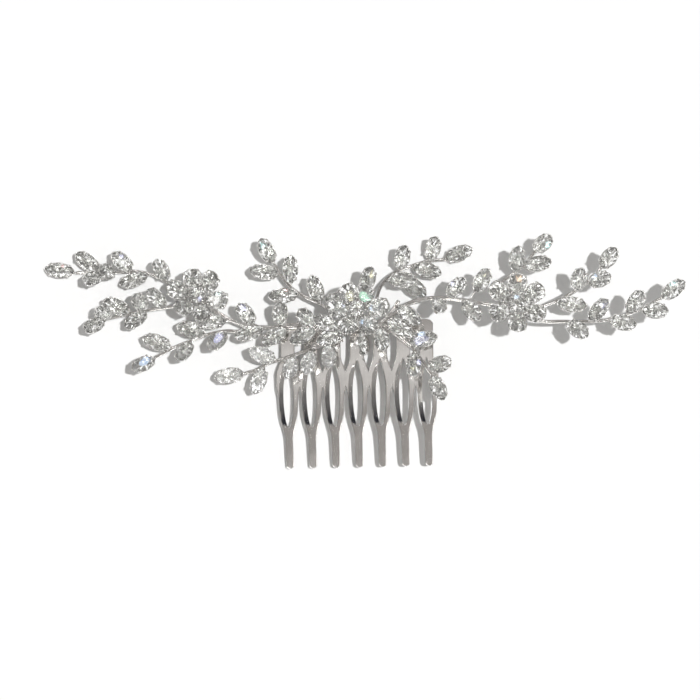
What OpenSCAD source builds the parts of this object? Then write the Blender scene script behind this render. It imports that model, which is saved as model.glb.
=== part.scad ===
// Bridal hair comb with sprays of claw-set crystal leaves and three crystal flowers.
// Units are millimetres. The comb lies on the plane z = 0 with its teeth towards -Y,
// and the stones face +Z. The origin is the middle of the footprint, on that plane.

/* [Comb] */
// Number of teeth
tooth_count = 7; // [5:1:12]
// Distance between neighbouring tooth centres
tooth_pitch = 5.76; // [5:0.01:8]
// Distance from a tooth's tip to the spine's lower edge
tooth_length = 33.2; // [25:0.1:45]
// Width of a tooth below its opening
prong_width = 1.9; // [1.2:0.1:3]
// Height of the lower end of a tooth's opening above the tip
fork_height = 10.3; // [5:0.1:15]
// Height of the upper end of a tooth's opening above the tip
opening_top = 26.7; // [18:0.1:30]
// Widest part of a tooth's opening
opening_width = 2.5; // [1:0.1:4]
// Height above the tip where neighbouring teeth meet
shoulder_height = 23.8; // [18:0.1:30]
// Width of the gap between two bars under the spine
bar_gap = 2.3; // [1:0.1:4]
// Height of the spine
spine_height = 3.3; // [2:0.1:6]
// Thickness of the comb's metal
comb_thickness = 1.3; // [0.8:0.1:2]
// Radius of the comb's bow from tip to spine
bow_radius = 135; // [80:1:400]
// Height of the comb's right end over its left end, as an angle
comb_slope = 4.8; // [0:0.1:8]
// Height of the spine over the tips, as an angle
comb_lean = 1.6; // [0:0.1:8]
// Turn of the comb in its own plane
comb_turn = 1.1; // [-5:0.1:5]
// Overlap of two neighbouring teeth where they meet
shoulder_overlap = 0.1; // [0.05:0.05:0.6]

/* [Wire] */
// Radius of the thick stem along the spine
branch_radius = 0.62; // [0.4:0.01:1]
// Radius of a spray's stem
stem_radius = 0.48; // [0.3:0.01:0.8]
// Radius of the twig that carries a cup
twig_radius = 0.32; // [0.2:0.01:0.5]
// Sides of a meshed wire
wire_sides = 6; // [5:1:8]

/* [Binding wire] */
// Width of a loop along the spine
loop_width = 0.6; // [0.4:0.1:1.2]
// Thickness of a loop
loop_thickness = 0.45; // [0.3:0.05:1]
// Clear height of a loop over the spine, where the branch passes
loop_rise = 1.85; // [1.5:0.05:4]

/* [Cups] */
// Length of a leaf's cup
leaf_length = 7.6; // [5:0.1:10]
// Width of a leaf's cup
leaf_width = 4.1; // [3:0.1:6]
// Fullness of a leaf's outline: 1 gives slim ends and 0.5 an ellipse
leaf_fullness = 0.62; // [0.5:0.01:1]
// Length of a petal's cup
petal_length = 6.4; // [4:0.1:8]
// Width of a petal's cup
petal_width = 4.9; // [3:0.1:6]
// Diameter of the cup in the middle of a flower
centre_width = 4.3; // [3:0.1:6]
// Depth of a cup under its rim
cup_depth = 1.4; // [1:0.1:2]
// Height of a claw's tip over the rim
claw_height = 0.55; // [0.3:0.05:1]

/* [Stones] */
// Height of a stone's crown, from its girdle to its table
crown_height = 0.8; // [0.4:0.05:1.2]
// Depth of a stone under its girdle
pavilion_depth = 0.8; // [0.4:0.05:1.2]
// Size of a stone's girdle as a part of its cup
girdle_ratio = 0.78; // [0.7:0.01:0.82]
// Size of a stone's table as a part of its cup
table_ratio = 0.45; // [0.3:0.01:0.6]

/* [Hidden] */
// Colours
silver = [0.78, 0.78, 0.77];
crystal = [0.90, 0.94, 0.97];

// Levels in a cup, measured from its stem's axis
rim_level = 0.5;
girdle_level = 0.45;
cup_bottom = rim_level - cup_depth;
cup_floor = cup_bottom + 0.4;
claw_tip = rim_level + claw_height;

// Sizes of a cup's rings as parts of its outline
bottom_ratio = 0.62;
rim_inner_ratio = 0.88;
floor_ratio = 0.5;
claw_tip_ratio = 0.68;
keel_ratio = 0.3;

// Sides of a meshed cup
cup_sides = 8;

// Moves the assembly so that its footprint is centred and its lowest point is at z = 0
rest_shift = [0.98, 0.55, 0];

// Comb: outline points measured from the tip of the middle tooth
comb_span = (tooth_count - 1) * tooth_pitch;
comb_place = [-1.42, -29.0, 1.39];
bow_centre = tooth_length / 2;
flare = 1.22;
flare_low = 6.9;
flare_high = 14.1;
spread = 0.045;
spread_low = 12.5;
shoulder_low = 17.6;
shoulder_high = 20.6;
shoulder_half = (tooth_pitch + shoulder_overlap) / 2;
opening_half = (opening_top - fork_height) / 2;
opening_radius = (opening_half * opening_half + opening_width * opening_width / 4) / opening_width;
bar_half = (tooth_pitch - bar_gap) / 2;

// Paths of the stems, from base to tip. Columns: x, y, z
branch_path = [
  [-41.0, 12.8, 2.4], [-35.6, 8.7, 2.7], [-30.2, 6.3, 2.9], [-24.9, 5.8, 3.0],
  [-18.9, 5.9, 3.1], [-8.9, 6.0, 3.9], [1.3, 6.2, 4.8], [5.8, 8.2, 5.2],
  [9.9, 11.0, 5.6], [13.6, 12.4, 5.9], [17.9, 12.8, 6.1], [23.6, 12.3, 6.4],
  [31.1, 11.1, 6.6], [36.6, 11.0, 6.6]
];
left_upper_path = [
  [-43.8, 15.1, 2.2], [-48.3, 16.8, 1.8], [-53.5, 19.3, 1.4], [-56.3, 20.0, 1.2],
  [-63.0, 19.9, 1.1], [-68.3, 19.9, 1.1], [-72.5, 19.8, 1.1]
];
left_middle_path = [
  [-43.4, 11.2, 2.1], [-47.2, 11.2, 1.9], [-53.8, 10.4, 1.7], [-59.0, 9.4, 1.6],
  [-66.2, 7.8, 1.6]
];
left_lower_path = [
  [-31.7, 4.7, 3.4], [-34.4, 4.9, 3.5], [-38.4, 4.2, 3.5], [-42.6, 2.7, 3.5],
  [-47.1, 0.9, 3.6], [-52.6, -2.0, 3.7]
];
upper_path = [
  [-7.0, 8.2, 4.3], [-10.8, 11.3, 4.2], [-15.3, 13.6, 3.7], [-18.0, 15.3, 3.4],
  [-21.5, 19.6, 2.9], [-22.8, 21.8, 2.7]
];
lower_path = [
  [-5.6, 2.4, 5.2], [-9.0, 1.7, 4.8], [-19.9, -2.0, 4.2], [-24.4, -3.4, 3.8],
  [-26.6, -4.7, 3.6], [-29.9, -5.7, 3.4]
];
right_upper_path = [
  [2.3, 11.3, 4.6], [3.8, 16.0, 3.8], [7.6, 19.8, 2.7], [11.5, 21.4, 1.9],
  [15.0, 22.6, 1.1], [20.1, 23.3, 0.5]
];
right_top_path = [
  [32.8, 14.8, 5.8], [33.7, 16.6, 5.4], [37.3, 19.4, 5.0], [38.8, 20.6, 5.0],
  [42.3, 24.8, 5.0]
];
right_middle_path = [
  [41.6, 10.0, 6.6], [46.9, 11.8, 6.8], [52.4, 14.8, 6.8], [55.0, 16.7, 6.8],
  [57.6, 19.2, 6.8], [58.6, 20.8, 6.8]
];
right_long_path = [
  [39.4, 8.1, 7.4], [43.2, 6.9, 7.8], [49.1, 6.7, 8.2], [54.1, 6.7, 8.3],
  [59.0, 7.0, 8.3], [64.0, 8.3, 8.3], [68.0, 9.7, 8.3], [73.0, 12.5, 8.3]
];
drooping_path = [
  [4.0, 6.5, 5.8], [6.8, 4.3, 6.1], [11.5, 0.3, 6.5], [14.8, -4.2, 6.8],
  [16.8, -6.9, 6.9]
];
centre_path = [
  [-13.4, 5.6, 6.1], [-7.6, 4.9, 6.4], [-1.9, 4.9, 6.8], [3.1, 6.2, 7.2],
  [6.8, 9.8, 7.7], [8.2, 12.0, 7.8]
];
centre_flower_path = [
  [-1.9, 7.4, 6.2], [-1.8, 9.8, 6.7], [-0.4, 14.6, 5.7]
];

// Cups along each stem. Columns: distance from the base, turn from the stem's heading,
// pitch, roll, length of the twig, lift over the stem
branch_leaves = [
  [10.0, -153, 14, 10, 2.2, 0.0],
  [15.5, 132, 38, -15, 1.2, 0.0],
  [19.0, -161, 10, 12, 1.6, 1.0],
  [21.6, 88, 45, 10, 0.9, 0.2],
  [24.4, -150, 14, -10, 1.4, 0.0],
  [64.6, 52, 38, 12, 0.8, 0.1],
  [63.1, -97, 55, -10, 0.8, 0.1],
  [68.5, -42, 30, 10, 0.8, 0.1],
  [70.2, 64, 34, -12, 3.2, 0.0]
];
left_upper_leaves = [
  [29.6, -8, 0, 8, 0.4, 0.0],
  [23.4, -38, 20, -14, 0.6, 0.1],
  [22.6, 40, 44, 10, 0.9, 0.1],
  [20.0, 10, 64, 0, 0.6, 0.1],
  [15.3, -43, 34, -10, 0.6, 0.1],
  [11.0, 36, 6, 12, 0.6, 0.0],
  [6.2, -40, 46, -12, 0.8, 0.1]
];
left_middle_leaves = [
  [22.4, 32, 44, 10, 0.4, 0.0],
  [20.4, -40, 62, -12, 0.6, 0.1],
  [15.0, -34, 22, -10, 0.7, 0.1],
  [11.0, 34, 28, 12, 0.8, 0.0],
  [11.4, -62, 58, 0, 0.9, 0.1],
  [6.2, -45, 42, 8, 0.8, 0.1]
];
left_lower_leaves = [
  [22.0, 8, 35, 12, 0.4, 0.0],
  [16.6, -46, 8, -12, 0.7, 0.0],
  [12.1, 44, 38, 14, 0.7, 0.0],
  [7.5, -36, 8, -10, 0.7, 0.0],
  [2.9, 44, 34, 10, 0.7, 0.0]
];
upper_leaves = [
  [21.4, 2, 30, 10, 0.4, 0.0],
  [18.2, 46, 14, 10, 0.5, 0.0],
  [14.2, -40, 22, -12, 0.7, 0.0],
  [11.0, 40, 8, 12, 0.6, 0.0],
  [5.2, -44, 22, -10, 0.6, 0.1]
];
lower_leaves = [
  [25.4, -8, 4, -10, 0.6, 0.0],
  [17.2, -38, 24, -10, 0.6, 0.0],
  [20.6, 42, 16, 12, 0.6, 0.0],
  [13.2, 66, 38, 10, 0.8, 0.0],
  [8.2, 62, 32, 10, 0.8, 0.0],
  [3.6, 70, 34, -8, 0.8, 0.0]
];
right_upper_leaves = [
  [11.2, 50, 40, -10, 0.6, 0.1],
  [19.4, 61, 42, -12, 0.6, 0.0],
  [23.1, 12, 10, 10, 0.4, 0.0],
  [14.6, -38, 12, 10, 0.6, 0.0],
  [6.9, -44, 20, 12, 0.7, 1.2],
  [10.4, -84, 4, 10, 2.2, 0.0]
];
right_top_leaves = [
  [13.6, -6, 48, 10, 0.4, 0.0],
  [8.6, -40, 24, 10, 0.6, 0.0],
  [6.2, 42, 36, -10, 0.6, 0.0]
];
right_middle_leaves = [
  [19.9, -10, 44, -10, 0.4, 0.0],
  [14.0, -22, 46, 10, 1.8, -0.2],
  [11.2, 44, 48, -10, 0.6, 0.0],
  [5.4, -26, 8, 20, 0.6, 0.1]
];
right_long_leaves = [
  [10.3, -40, 34, 10, 0.6, 0.0],
  [15.7, 42, 32, -10, 0.6, 0.0],
  [20.6, -30, 30, 10, 0.6, 0.0],
  [25.2, 34, 34, -10, 0.7, 0.0],
  [28.8, -26, 36, 10, 0.9, 0.0],
  [34.9, 4, 32, -8, 0.4, 0.0]
];
drooping_leaves = [
  [7.6, 50, 16, 8, 0.9, 0.2],
  [10.6, -38, 30, 12, 0.6, 0.0],
  [16.2, 71, 40, 10, 0.6, 0.0],
  [18.0, -16, 24, -10, 0.5, 0.0]
];
centre_leaf_rows = [
  [0.8, 142, 44, -10, 0.6, 0.0],
  [1.8, -146, 14, -10, 0.9, 0.0],
  [7.4, 162, 26, 8, 0.8, 0.3],
  [8.8, -154, 5, 6, 0.8, 0.0],
  [12.4, -94, 30, 62, 0.8, 0.0],
  [16.4, -88, 34, 12, 1.6, 0.0],
  [18.8, -76, 8, 10, 0.9, 0.2],
  [23.0, -96, 12, -10, 0.6, 0.3]
];
centre_flower_leaves = [
  [5.2, 106, 0, 8, 1.6, -1.4],
  [7.3, -4, 38, -8, 0.4, 0.0]
];

// Flowers. Columns: x, y, z of the hub, heading of the first petal, lean, lean's heading
flower_places = [
  [-41.8, 13.3, 4.7, -14, 8, 90],
  [-2.1, 9.7, 7.8, 2, 6, 90],
  [37.1, 10.9, 8.9, 29, 8, 60]
];
// Pitch of each of a flower's petals, one row a flower
petal_pitches = [
  [20, 40, 50, 26, 38, 34],
  [22, 54, 48, 28, 30, 26],
  [34, 42, 24, 24, 26, 26]
];
petal_start = 2.25;

// Vectors and paths
function unit(v) = v / norm(v);
function step(path, i) = path[i + 1] - path[i];
function on_last_step(path, s, i) = i >= len(path) - 2 || s <= norm(step(path, i));
function point_at(path, s, i = 0) =
  on_last_step(path, s, i)
    ? path[i] + unit(step(path, i)) * s
    : point_at(path, s - norm(step(path, i)), i + 1);
function heading_at(path, s, i = 0) =
  on_last_step(path, s, i)
    ? atan2(step(path, i).y, step(path, i).x)
    : heading_at(path, s - norm(step(path, i)), i + 1);
function before(path, i) = i > 0 ? unit(step(path, i - 1)) : [0, 0, 0];
function after(path, i) = i < len(path) - 1 ? unit(step(path, i)) : [0, 0, 0];
function tangent(path, i) = unit(before(path, i) + after(path, i));
function direction(heading, pitch) = [
  cos(heading) * cos(pitch), sin(heading) * cos(pitch), sin(pitch)
];

// Outlines of the cups, centred, seen from above
function leaf_point(a) =
  let (x = sign(cos(a)) * pow(abs(cos(a)), 1.35))
  let (y = abs(sin(a)) < 0.001 ? 0 : sign(sin(a)) * pow(1 - x * x, leaf_fullness))
  [leaf_length / 2 * x, leaf_width / 2 * y];
function petal_point(a) = [
  petal_length / 2 * cos(a), petal_width / 2 * sin(a) * (1 + 0.14 * cos(a))
];
function centre_point(a) = [centre_width / 2 * cos(a), centre_width / 2 * sin(a)];
function cup_point(kind, a) =
  kind == "leaf" ? leaf_point(a) : kind == "petal" ? petal_point(a) : centre_point(a);
function cup_length(kind) =
  kind == "leaf" ? leaf_length : kind == "petal" ? petal_length : centre_width;
function ring(kind, ratio, z) = [
  for (k = [0:cup_sides - 1])
    let (p = cup_point(kind, 360 * k / cup_sides) * ratio)
    [p.x + cup_length(kind) / 2, p.y, z]
];

// Triangles between ring i and ring i + 1, each of n points
function band(i, n) = [
  for (k = [0:n - 1])
    let (a = i * n + k, b = i * n + (k + 1) % n)
    each [[a, a + n, b], [b, a + n, b + n]]
];

// Six triangles from the rim on both sides of corner k to the tip of its claw
function claw_faces(k, n) =
  let (o0 = n + k - 1, o1 = n + k, o2 = n + (k + 1) % n)
  let (i0 = o0 + n, i1 = o1 + n, i2 = o2 + n, tip = 4 * n + (k - 1) / 2)
  [
    [o0, tip, o1], [o1, tip, o2], [o2, tip, i2],
    [i2, tip, i1], [i1, tip, i0], [i0, tip, o0]
  ];

// Closed shell through a list of rings, with a flat face on the first and the last
module shell(rings) {
  n = len(rings[0]);
  last = len(rings) - 1;
  polyhedron(
    points = [for (r = rings) each r],
    faces = [
      [for (k = [0:n - 1]) k],
      for (i = [0:last - 1]) each band(i, n),
      [for (k = [n - 1:-1:0]) last * n + k]
    ],
    convexity = 4
  );
}

// Round wire along a path
module wire(path, radius, sides) {
  shell([
    for (i = [0:len(path) - 1])
      let (t = tangent(path, i), s = unit(cross([0, 0, 1], t)), u = cross(t, s))
      [for (k = [0:sides - 1])
        path[i] + radius * (cos(360 * k / sides) * s + sin(360 * k / sides) * u)]
  ]);
}

// Open cup whose rim rises to four claws that lean over the stone. Its inner end is at
// the origin and it points along +X. Rings: outer bottom, outer rim, inner rim, floor
module cup(kind) {
  n = cup_sides;
  claws = [for (k = [1:2:n - 1]) ring(kind, claw_tip_ratio, claw_tip)[k]];
  polyhedron(
    points = concat(
      ring(kind, bottom_ratio, cup_bottom),
      ring(kind, 1, rim_level),
      ring(kind, rim_inner_ratio, rim_level),
      ring(kind, floor_ratio, cup_floor),
      claws
    ),
    faces = concat(
      [[for (k = [0:n - 1]) k]],
      band(0, n),
      [for (k = [1:2:n - 1]) each claw_faces(k, n)],
      band(2, n),
      [[for (k = [n - 1:-1:0]) 3 * n + k]]
    ),
    convexity = 6
  );
}

// Cut stone with a table, a crown and a pavilion, in the place that it has in its cup
module stone(kind) {
  n = cup_sides;
  middle = cup_length(kind) / 2;
  keel = kind == "leaf" ? middle * keel_ratio : 0;
  bottom = girdle_level - pavilion_depth;
  points = concat(
    ring(kind, girdle_ratio, girdle_level),
    ring(kind, table_ratio, girdle_level + crown_height),
    [[middle + keel, 0, bottom], [middle - keel, 0, bottom]]
  );
  left = kind == "leaf" ? 2 * n + 1 : 2 * n;
  hull() polyhedron(
    points = points,
    faces = concat(
      [for (k = [0:n - 1]) [k, (k + 1) % n, k < n / 4 || k >= 3 * n / 4 ? 2 * n : left]],
      kind == "leaf" ? [[n / 4, 2 * n + 1, 2 * n], [3 * n / 4, 2 * n, 2 * n + 1]] : [],
      band(0, n),
      [[for (k = [n - 1:-1:0]) n + k]]
    ),
    convexity = 2
  );
}

// Puts a cup or a stone in its place beside a stem
module on_stem(path, row) {
  heading = heading_at(path, row[0]) + row[1];
  base = point_at(path, row[0]) + row[4] * direction(heading, row[2]) + [0, 0, row[5]];
  translate(base)
    rotate([row[3], -row[2], heading])
      children();
}

// Twig from the stem into the end wall of its cup
module twig(path, row) {
  heading = heading_at(path, row[0]) + row[1];
  start = point_at(path, row[0]);
  base = start + row[4] * direction(heading, row[2]) + [0, 0, row[5]];
  end = base + 0.85 * direction(heading, row[2]) + [0, 0, -0.1];
  hull()
    wire([start, end], twig_radius, 4);
}

// Stem with its cups, soldered into one solid
module spray(path, rows, radius = stem_radius) {
  color(silver)
    translate(rest_shift)
      union() {
        wire(path, radius, wire_sides);
        for (row = rows) {
          twig(path, row);
          on_stem(path, row)
            cup("leaf");
        }
      }
}

// Stones of one spray
module spray_stones(path, rows) {
  color(crystal)
    translate(rest_shift)
      for (row = rows)
        on_stem(path, row)
          stone("leaf");
}

// Places of a flower and of its petals
module at_flower(i) {
  f = flower_places[i];
  translate(rest_shift + [f[0], f[1], f[2]])
    rotate([0, 0, f[5]])
      rotate([0, f[4], 0])
        rotate([0, 0, -f[5]])
          children();
}

module at_petal(i, k) {
  rotate([0, 0, flower_places[i][3] + 60 * k])
    translate([petal_start, 0, 0])
      rotate([0, -petal_pitches[i][k], 0])
        children();
}

module at_flower_centre() {
  translate([-centre_width / 2, 0, 1.35])
    children();
}

// Hub, six petal cups and a round cup in the middle, soldered into one solid
module flower(i) {
  color(silver)
    at_flower(i)
      union() {
        translate([0, 0, cup_bottom])
          cylinder(r = 1.2, h = 1.6, $fn = 8);
        for (k = [0:5]) {
          rotate([0, 0, flower_places[i][3] + 60 * k])
            hull()
              wire([[0, 0, -0.3], [petal_start + 0.8, 0, 0.1]], 0.45, 4);
          at_petal(i, k)
            cup("petal");
        }
        at_flower_centre()
          cup("centre");
      }
}

module flower_stones(i) {
  color(crystal)
    at_flower(i) {
      for (k = [0:5])
        at_petal(i, k)
          stone("petal");
      at_flower_centre()
        stone("centre");
    }
}

// Comb: rises from 0 to 1 between two heights, level at both ends
function rise(h, low, high) =
  let (t = max(0, min(1, (h - low) / (high - low))))
  t * t * (3 - 2 * t);

// Comb: half width of a tooth between its prong and its shoulders
function flared(h) =
  prong_width / 2 + flare * rise(h, flare_low, flare_high)
  + spread * max(0, h - spread_low);
function half_width(h) =
  min(shoulder_half,
    flared(h) + (shoulder_half - flared(shoulder_high)) * rise(h, shoulder_low, shoulder_high));

// Comb: half width of an opening, an ellipse below and an arc above
function half_opening(h) =
  h < fork_height + opening_half
    ? opening_width / 2 * sqrt(max(0, 1 - pow((h - fork_height) / opening_half - 1, 2)))
    : sqrt(pow(opening_radius, 2) - pow(h - fork_height - opening_half, 2))
      - opening_radius + opening_width / 2;

// Comb: outline of one tooth with its bar, tip at the origin
module tooth_outline() {
  heights = concat(
    [for (i = [0:24]) flare_low + (shoulder_high - flare_low) * i / 24], [shoulder_height]);
  low = [for (i = [1:12]) fork_height + opening_half * (1 - cos(90 * i / 12))];
  high = [for (i = [1:11]) fork_height + opening_half * (1 + i / 12)];
  opening = concat(low, high);
  difference() {
    union() {
      translate([-prong_width / 2, 0.8])
        square([prong_width, fork_height]);
      translate([0, prong_width / 2])
        circle(d = prong_width, $fn = 48);
      polygon(concat(
        [for (h = heights) [half_width(h), h]],
        [for (i = [25:-1:0]) [-half_width(heights[i]), heights[i]]]
      ));
      polygon([
        [-shoulder_half, shoulder_height - 0.1], [shoulder_half, shoulder_height - 0.1],
        [bar_half + 0.25, shoulder_height + 2.6], [bar_half, shoulder_height + 3.8],
        [bar_half, tooth_length + 0.5], [-bar_half, tooth_length + 0.5],
        [-bar_half, shoulder_height + 3.8], [-bar_half - 0.25, shoulder_height + 2.6]
      ]);
    }
    polygon(concat(
      [[0, fork_height]], [for (h = opening) [half_opening(h), h]], [[0, opening_top]],
      [for (i = [len(opening) - 1:-1:0]) [-half_opening(opening[i]), opening[i]]]
    ));
  }
}

module comb_outline() {
  for (i = [0:tooth_count - 1])
    translate([(i - (tooth_count - 1) / 2) * tooth_pitch, 0])
      tooth_outline();
  translate([-comb_span / 2, tooth_length])
    square([comb_span, spine_height]);
  for (side = [-1, 1])
    translate([side * (comb_span / 2 + 0.2), tooth_length + spine_height / 2])
      circle(d = spine_height, $fn = 64);
}

// Comb's own frame: x along the spine, y up the teeth, z through the metal
module in_comb() {
  translate(rest_shift + comb_place)
    rotate([comb_lean, -comb_slope, comb_turn])
      children();
}

module comb() {
  color(silver)
    in_comb()
      intersection() {
        translate([0, 0, -3])
          linear_extrude(height = 8)
            comb_outline();
        translate([-60, bow_centre, 1.1 - bow_radius])
          rotate([0, 90, 0])
            difference() {
              cylinder(r = bow_radius + comb_thickness, h = 120, $fn = 720);
              translate([0, 0, -1])
                cylinder(r = bow_radius, h = 122, $fn = 720);
            }
      }
}

module loop_outline(grow) {
  low = tooth_length - 0.2 - grow;
  high = tooth_length + spine_height + 0.2 + grow;
  translate([low, -0.6 - grow])
    square([high - low, comb_thickness + loop_rise + 0.6 + 2 * grow]);
}

module binding_wire() {
  color(silver)
    in_comb()
      for (i = [-2.5:1:0.5])
        translate([i * tooth_pitch - loop_width / 2, 0, 0])
          rotate([90, 0, 90])
            linear_extrude(height = loop_width)
              difference() {
                loop_outline(loop_thickness);
                loop_outline(0);
              }
}

module main_branch() {
  spray(branch_path, branch_leaves, branch_radius);
}

module main_branch_stones() {
  spray_stones(branch_path, branch_leaves);
}

module left_flower() {
  flower(0);
}

module left_flower_stones() {
  flower_stones(0);
}

module centre_flower() {
  flower(1);
  spray(centre_flower_path, centre_flower_leaves);
}

module centre_flower_stones() {
  flower_stones(1);
  spray_stones(centre_flower_path, centre_flower_leaves);
}

module right_flower() {
  flower(2);
}

module right_flower_stones() {
  flower_stones(2);
}

module centre_leaves() {
  spray(centre_path, centre_leaf_rows);
}

module centre_leaves_stones() {
  spray_stones(centre_path, centre_leaf_rows);
}

module left_upper_spray() {
  spray(left_upper_path, left_upper_leaves);
}

module left_upper_stones() {
  spray_stones(left_upper_path, left_upper_leaves);
}

module left_middle_spray() {
  spray(left_middle_path, left_middle_leaves);
}

module left_middle_stones() {
  spray_stones(left_middle_path, left_middle_leaves);
}

module left_lower_spray() {
  spray(left_lower_path, left_lower_leaves);
}

module left_lower_stones() {
  spray_stones(left_lower_path, left_lower_leaves);
}

module upper_spray() {
  spray(upper_path, upper_leaves);
}

module upper_stones() {
  spray_stones(upper_path, upper_leaves);
}

module lower_spray() {
  spray(lower_path, lower_leaves);
}

module lower_stones() {
  spray_stones(lower_path, lower_leaves);
}

module right_upper_spray() {
  spray(right_upper_path, right_upper_leaves);
}

module right_upper_stones() {
  spray_stones(right_upper_path, right_upper_leaves);
}

module right_top_spray() {
  spray(right_top_path, right_top_leaves);
}

module right_top_stones() {
  spray_stones(right_top_path, right_top_leaves);
}

module right_middle_spray() {
  spray(right_middle_path, right_middle_leaves);
}

module right_middle_stones() {
  spray_stones(right_middle_path, right_middle_leaves);
}

module right_long_spray() {
  spray(right_long_path, right_long_leaves);
}

module right_long_stones() {
  spray_stones(right_long_path, right_long_leaves);
}

module drooping_spray() {
  spray(drooping_path, drooping_leaves);
}

module drooping_stones() {
  spray_stones(drooping_path, drooping_leaves);
}

comb();
binding_wire();
main_branch();
main_branch_stones();
left_flower();
left_flower_stones();
centre_flower();
centre_flower_stones();
right_flower();
right_flower_stones();
centre_leaves();
centre_leaves_stones();
left_upper_spray();
left_upper_stones();
left_middle_spray();
left_middle_stones();
left_lower_spray();
left_lower_stones();
upper_spray();
upper_stones();
lower_spray();
lower_stones();
right_upper_spray();
right_upper_stones();
right_top_spray();
right_top_stones();
right_middle_spray();
right_middle_stones();
right_long_spray();
right_long_stones();
drooping_spray();
drooping_stones();
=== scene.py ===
"""Bridal hair comb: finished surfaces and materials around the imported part.

The comb is a bowed metal plate with seven teeth. A branch of twisted wire is bound to
its spine, and carries sprays of claw-set crystal leaves and three crystal flowers.
Tables and sizes are in millimetres and degrees, and every piece is scaled to metres
when its mesh is made. The teeth point along -Y and the stones face +Z.
"""

import logging
import math
from dataclasses import dataclass, field
from enum import Enum
from typing import NamedTuple

import bmesh
import bpy
import numpy as np
from numpy.typing import NDArray
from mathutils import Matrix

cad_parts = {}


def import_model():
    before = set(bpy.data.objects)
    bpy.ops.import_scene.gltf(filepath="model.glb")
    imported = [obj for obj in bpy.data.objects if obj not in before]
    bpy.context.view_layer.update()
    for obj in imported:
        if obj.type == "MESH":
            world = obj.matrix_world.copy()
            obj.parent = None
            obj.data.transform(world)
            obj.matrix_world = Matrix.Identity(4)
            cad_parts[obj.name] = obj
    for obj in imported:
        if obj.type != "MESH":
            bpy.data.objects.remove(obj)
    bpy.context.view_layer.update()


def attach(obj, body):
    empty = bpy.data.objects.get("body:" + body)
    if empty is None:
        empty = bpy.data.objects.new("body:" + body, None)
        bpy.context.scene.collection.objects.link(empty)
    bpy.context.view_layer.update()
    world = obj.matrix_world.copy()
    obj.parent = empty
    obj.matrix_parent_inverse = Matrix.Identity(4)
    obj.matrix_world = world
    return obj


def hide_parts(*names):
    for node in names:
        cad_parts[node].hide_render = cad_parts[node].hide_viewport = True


Array = NDArray[np.float64]
Faces = NDArray[np.int64]
Point = tuple[float, float, float]
Colour = tuple[float, float, float]
Socket = bpy.types.NodeSocket
Material = bpy.types.Material

log = logging.getLogger("hair_comb")

MM = 0.001
X, Y, Z = range(3)
BODY = "root"
REST_SHIFT = np.array([0.98, 0.55, 0.0])


class Slot(Enum):
    """Material slots of the record."""

    COMB = "comb_metal"
    WIRE = "wire_metal"
    CRYSTAL = "crystal"


class Outline(Enum):
    """Outlines of the cups, seen from above."""

    LEAF = "leaf"
    PETAL = "petal"
    CENTRE = "centre"


class Hue(Enum):
    """Colours of the painted coloured glints that a few facets glow with, as linear
    red, green and blue.
    """

    MINT = (0.24, 0.70, 0.46)
    SKY = (0.26, 0.42, 0.68)
    AQUA = (0.28, 0.66, 0.66)
    GOLD = (0.58, 0.54, 0.30)
    ROSE = (0.66, 0.22, 0.22)
    AMBER = (0.74, 0.46, 0.26)
    LILAC = (0.30, 0.31, 0.58)


class CupRow(NamedTuple):
    """One leaf cup beside a stem.

    Attributes:
        distance: how far along the stem its twig starts.
        turn: its heading, less the stem's.
        pitch: how far its outer end points up.
        roll: how far it is turned about its own length.
        twig: length of its twig.
        lift: how far it is raised over the twig's direction.
    """

    distance: float
    turn: float
    pitch: float
    roll: float
    twig: float
    lift: float


def cup_rows(*rows: tuple[float, ...]) -> tuple[CupRow, ...]:
    """Names the columns of a table of cups."""
    return tuple(CupRow(*row) for row in rows)


class FlowerPlace(NamedTuple):
    """Hub of a flower, its first petal's heading, its lean and the lean's heading."""

    x: float
    y: float
    z: float
    first_heading: float
    lean: float
    lean_heading: float


class PaintedGlint(NamedTuple):
    """A stone, by its number in its piece, whose facets on one side glow with a painted
    coloured glint.
    """

    stone: int
    hue: Hue
    heading: float
    radius: float = 0.36


# Stems from base to tip. Columns: x, y, z
BRANCH_PATH: tuple[Point, ...] = (
    (-41.0, 12.8, 2.4), (-35.6, 8.7, 2.7), (-30.2, 6.3, 2.9), (-24.9, 5.8, 3.0),
    (-18.9, 5.9, 3.1), (-8.9, 6.0, 3.9), (1.3, 6.2, 4.8), (5.8, 8.2, 5.2),
    (9.9, 11.0, 5.6), (13.6, 12.4, 5.9), (17.9, 12.8, 6.1), (23.6, 12.3, 6.4),
    (31.1, 11.1, 6.6), (36.6, 11.0, 6.6),
)
LEFT_UPPER_PATH: tuple[Point, ...] = (
    (-43.8, 15.1, 2.2), (-48.3, 16.8, 1.8), (-53.5, 19.3, 1.4), (-56.3, 20.0, 1.2),
    (-63.0, 19.9, 1.1), (-68.3, 19.9, 1.1), (-72.5, 19.8, 1.1),
)
LEFT_MIDDLE_PATH: tuple[Point, ...] = (
    (-43.4, 11.2, 2.1), (-47.2, 11.2, 1.9), (-53.8, 10.4, 1.7), (-59.0, 9.4, 1.6),
    (-66.2, 7.8, 1.6),
)
LEFT_LOWER_PATH: tuple[Point, ...] = (
    (-31.7, 4.7, 3.4), (-34.4, 4.9, 3.5), (-38.4, 4.2, 3.5), (-42.6, 2.7, 3.5),
    (-47.1, 0.9, 3.6), (-52.6, -2.0, 3.7),
)
UPPER_PATH: tuple[Point, ...] = (
    (-7.0, 8.2, 4.3), (-10.8, 11.3, 4.2), (-15.3, 13.6, 3.7), (-18.0, 15.3, 3.4),
    (-21.5, 19.6, 2.9), (-22.8, 21.8, 2.7),
)
LOWER_PATH: tuple[Point, ...] = (
    (-5.6, 2.4, 5.2), (-9.0, 1.7, 4.8), (-19.9, -2.0, 4.2), (-24.4, -3.4, 3.8),
    (-26.6, -4.7, 3.6), (-29.9, -5.7, 3.4),
)
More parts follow.
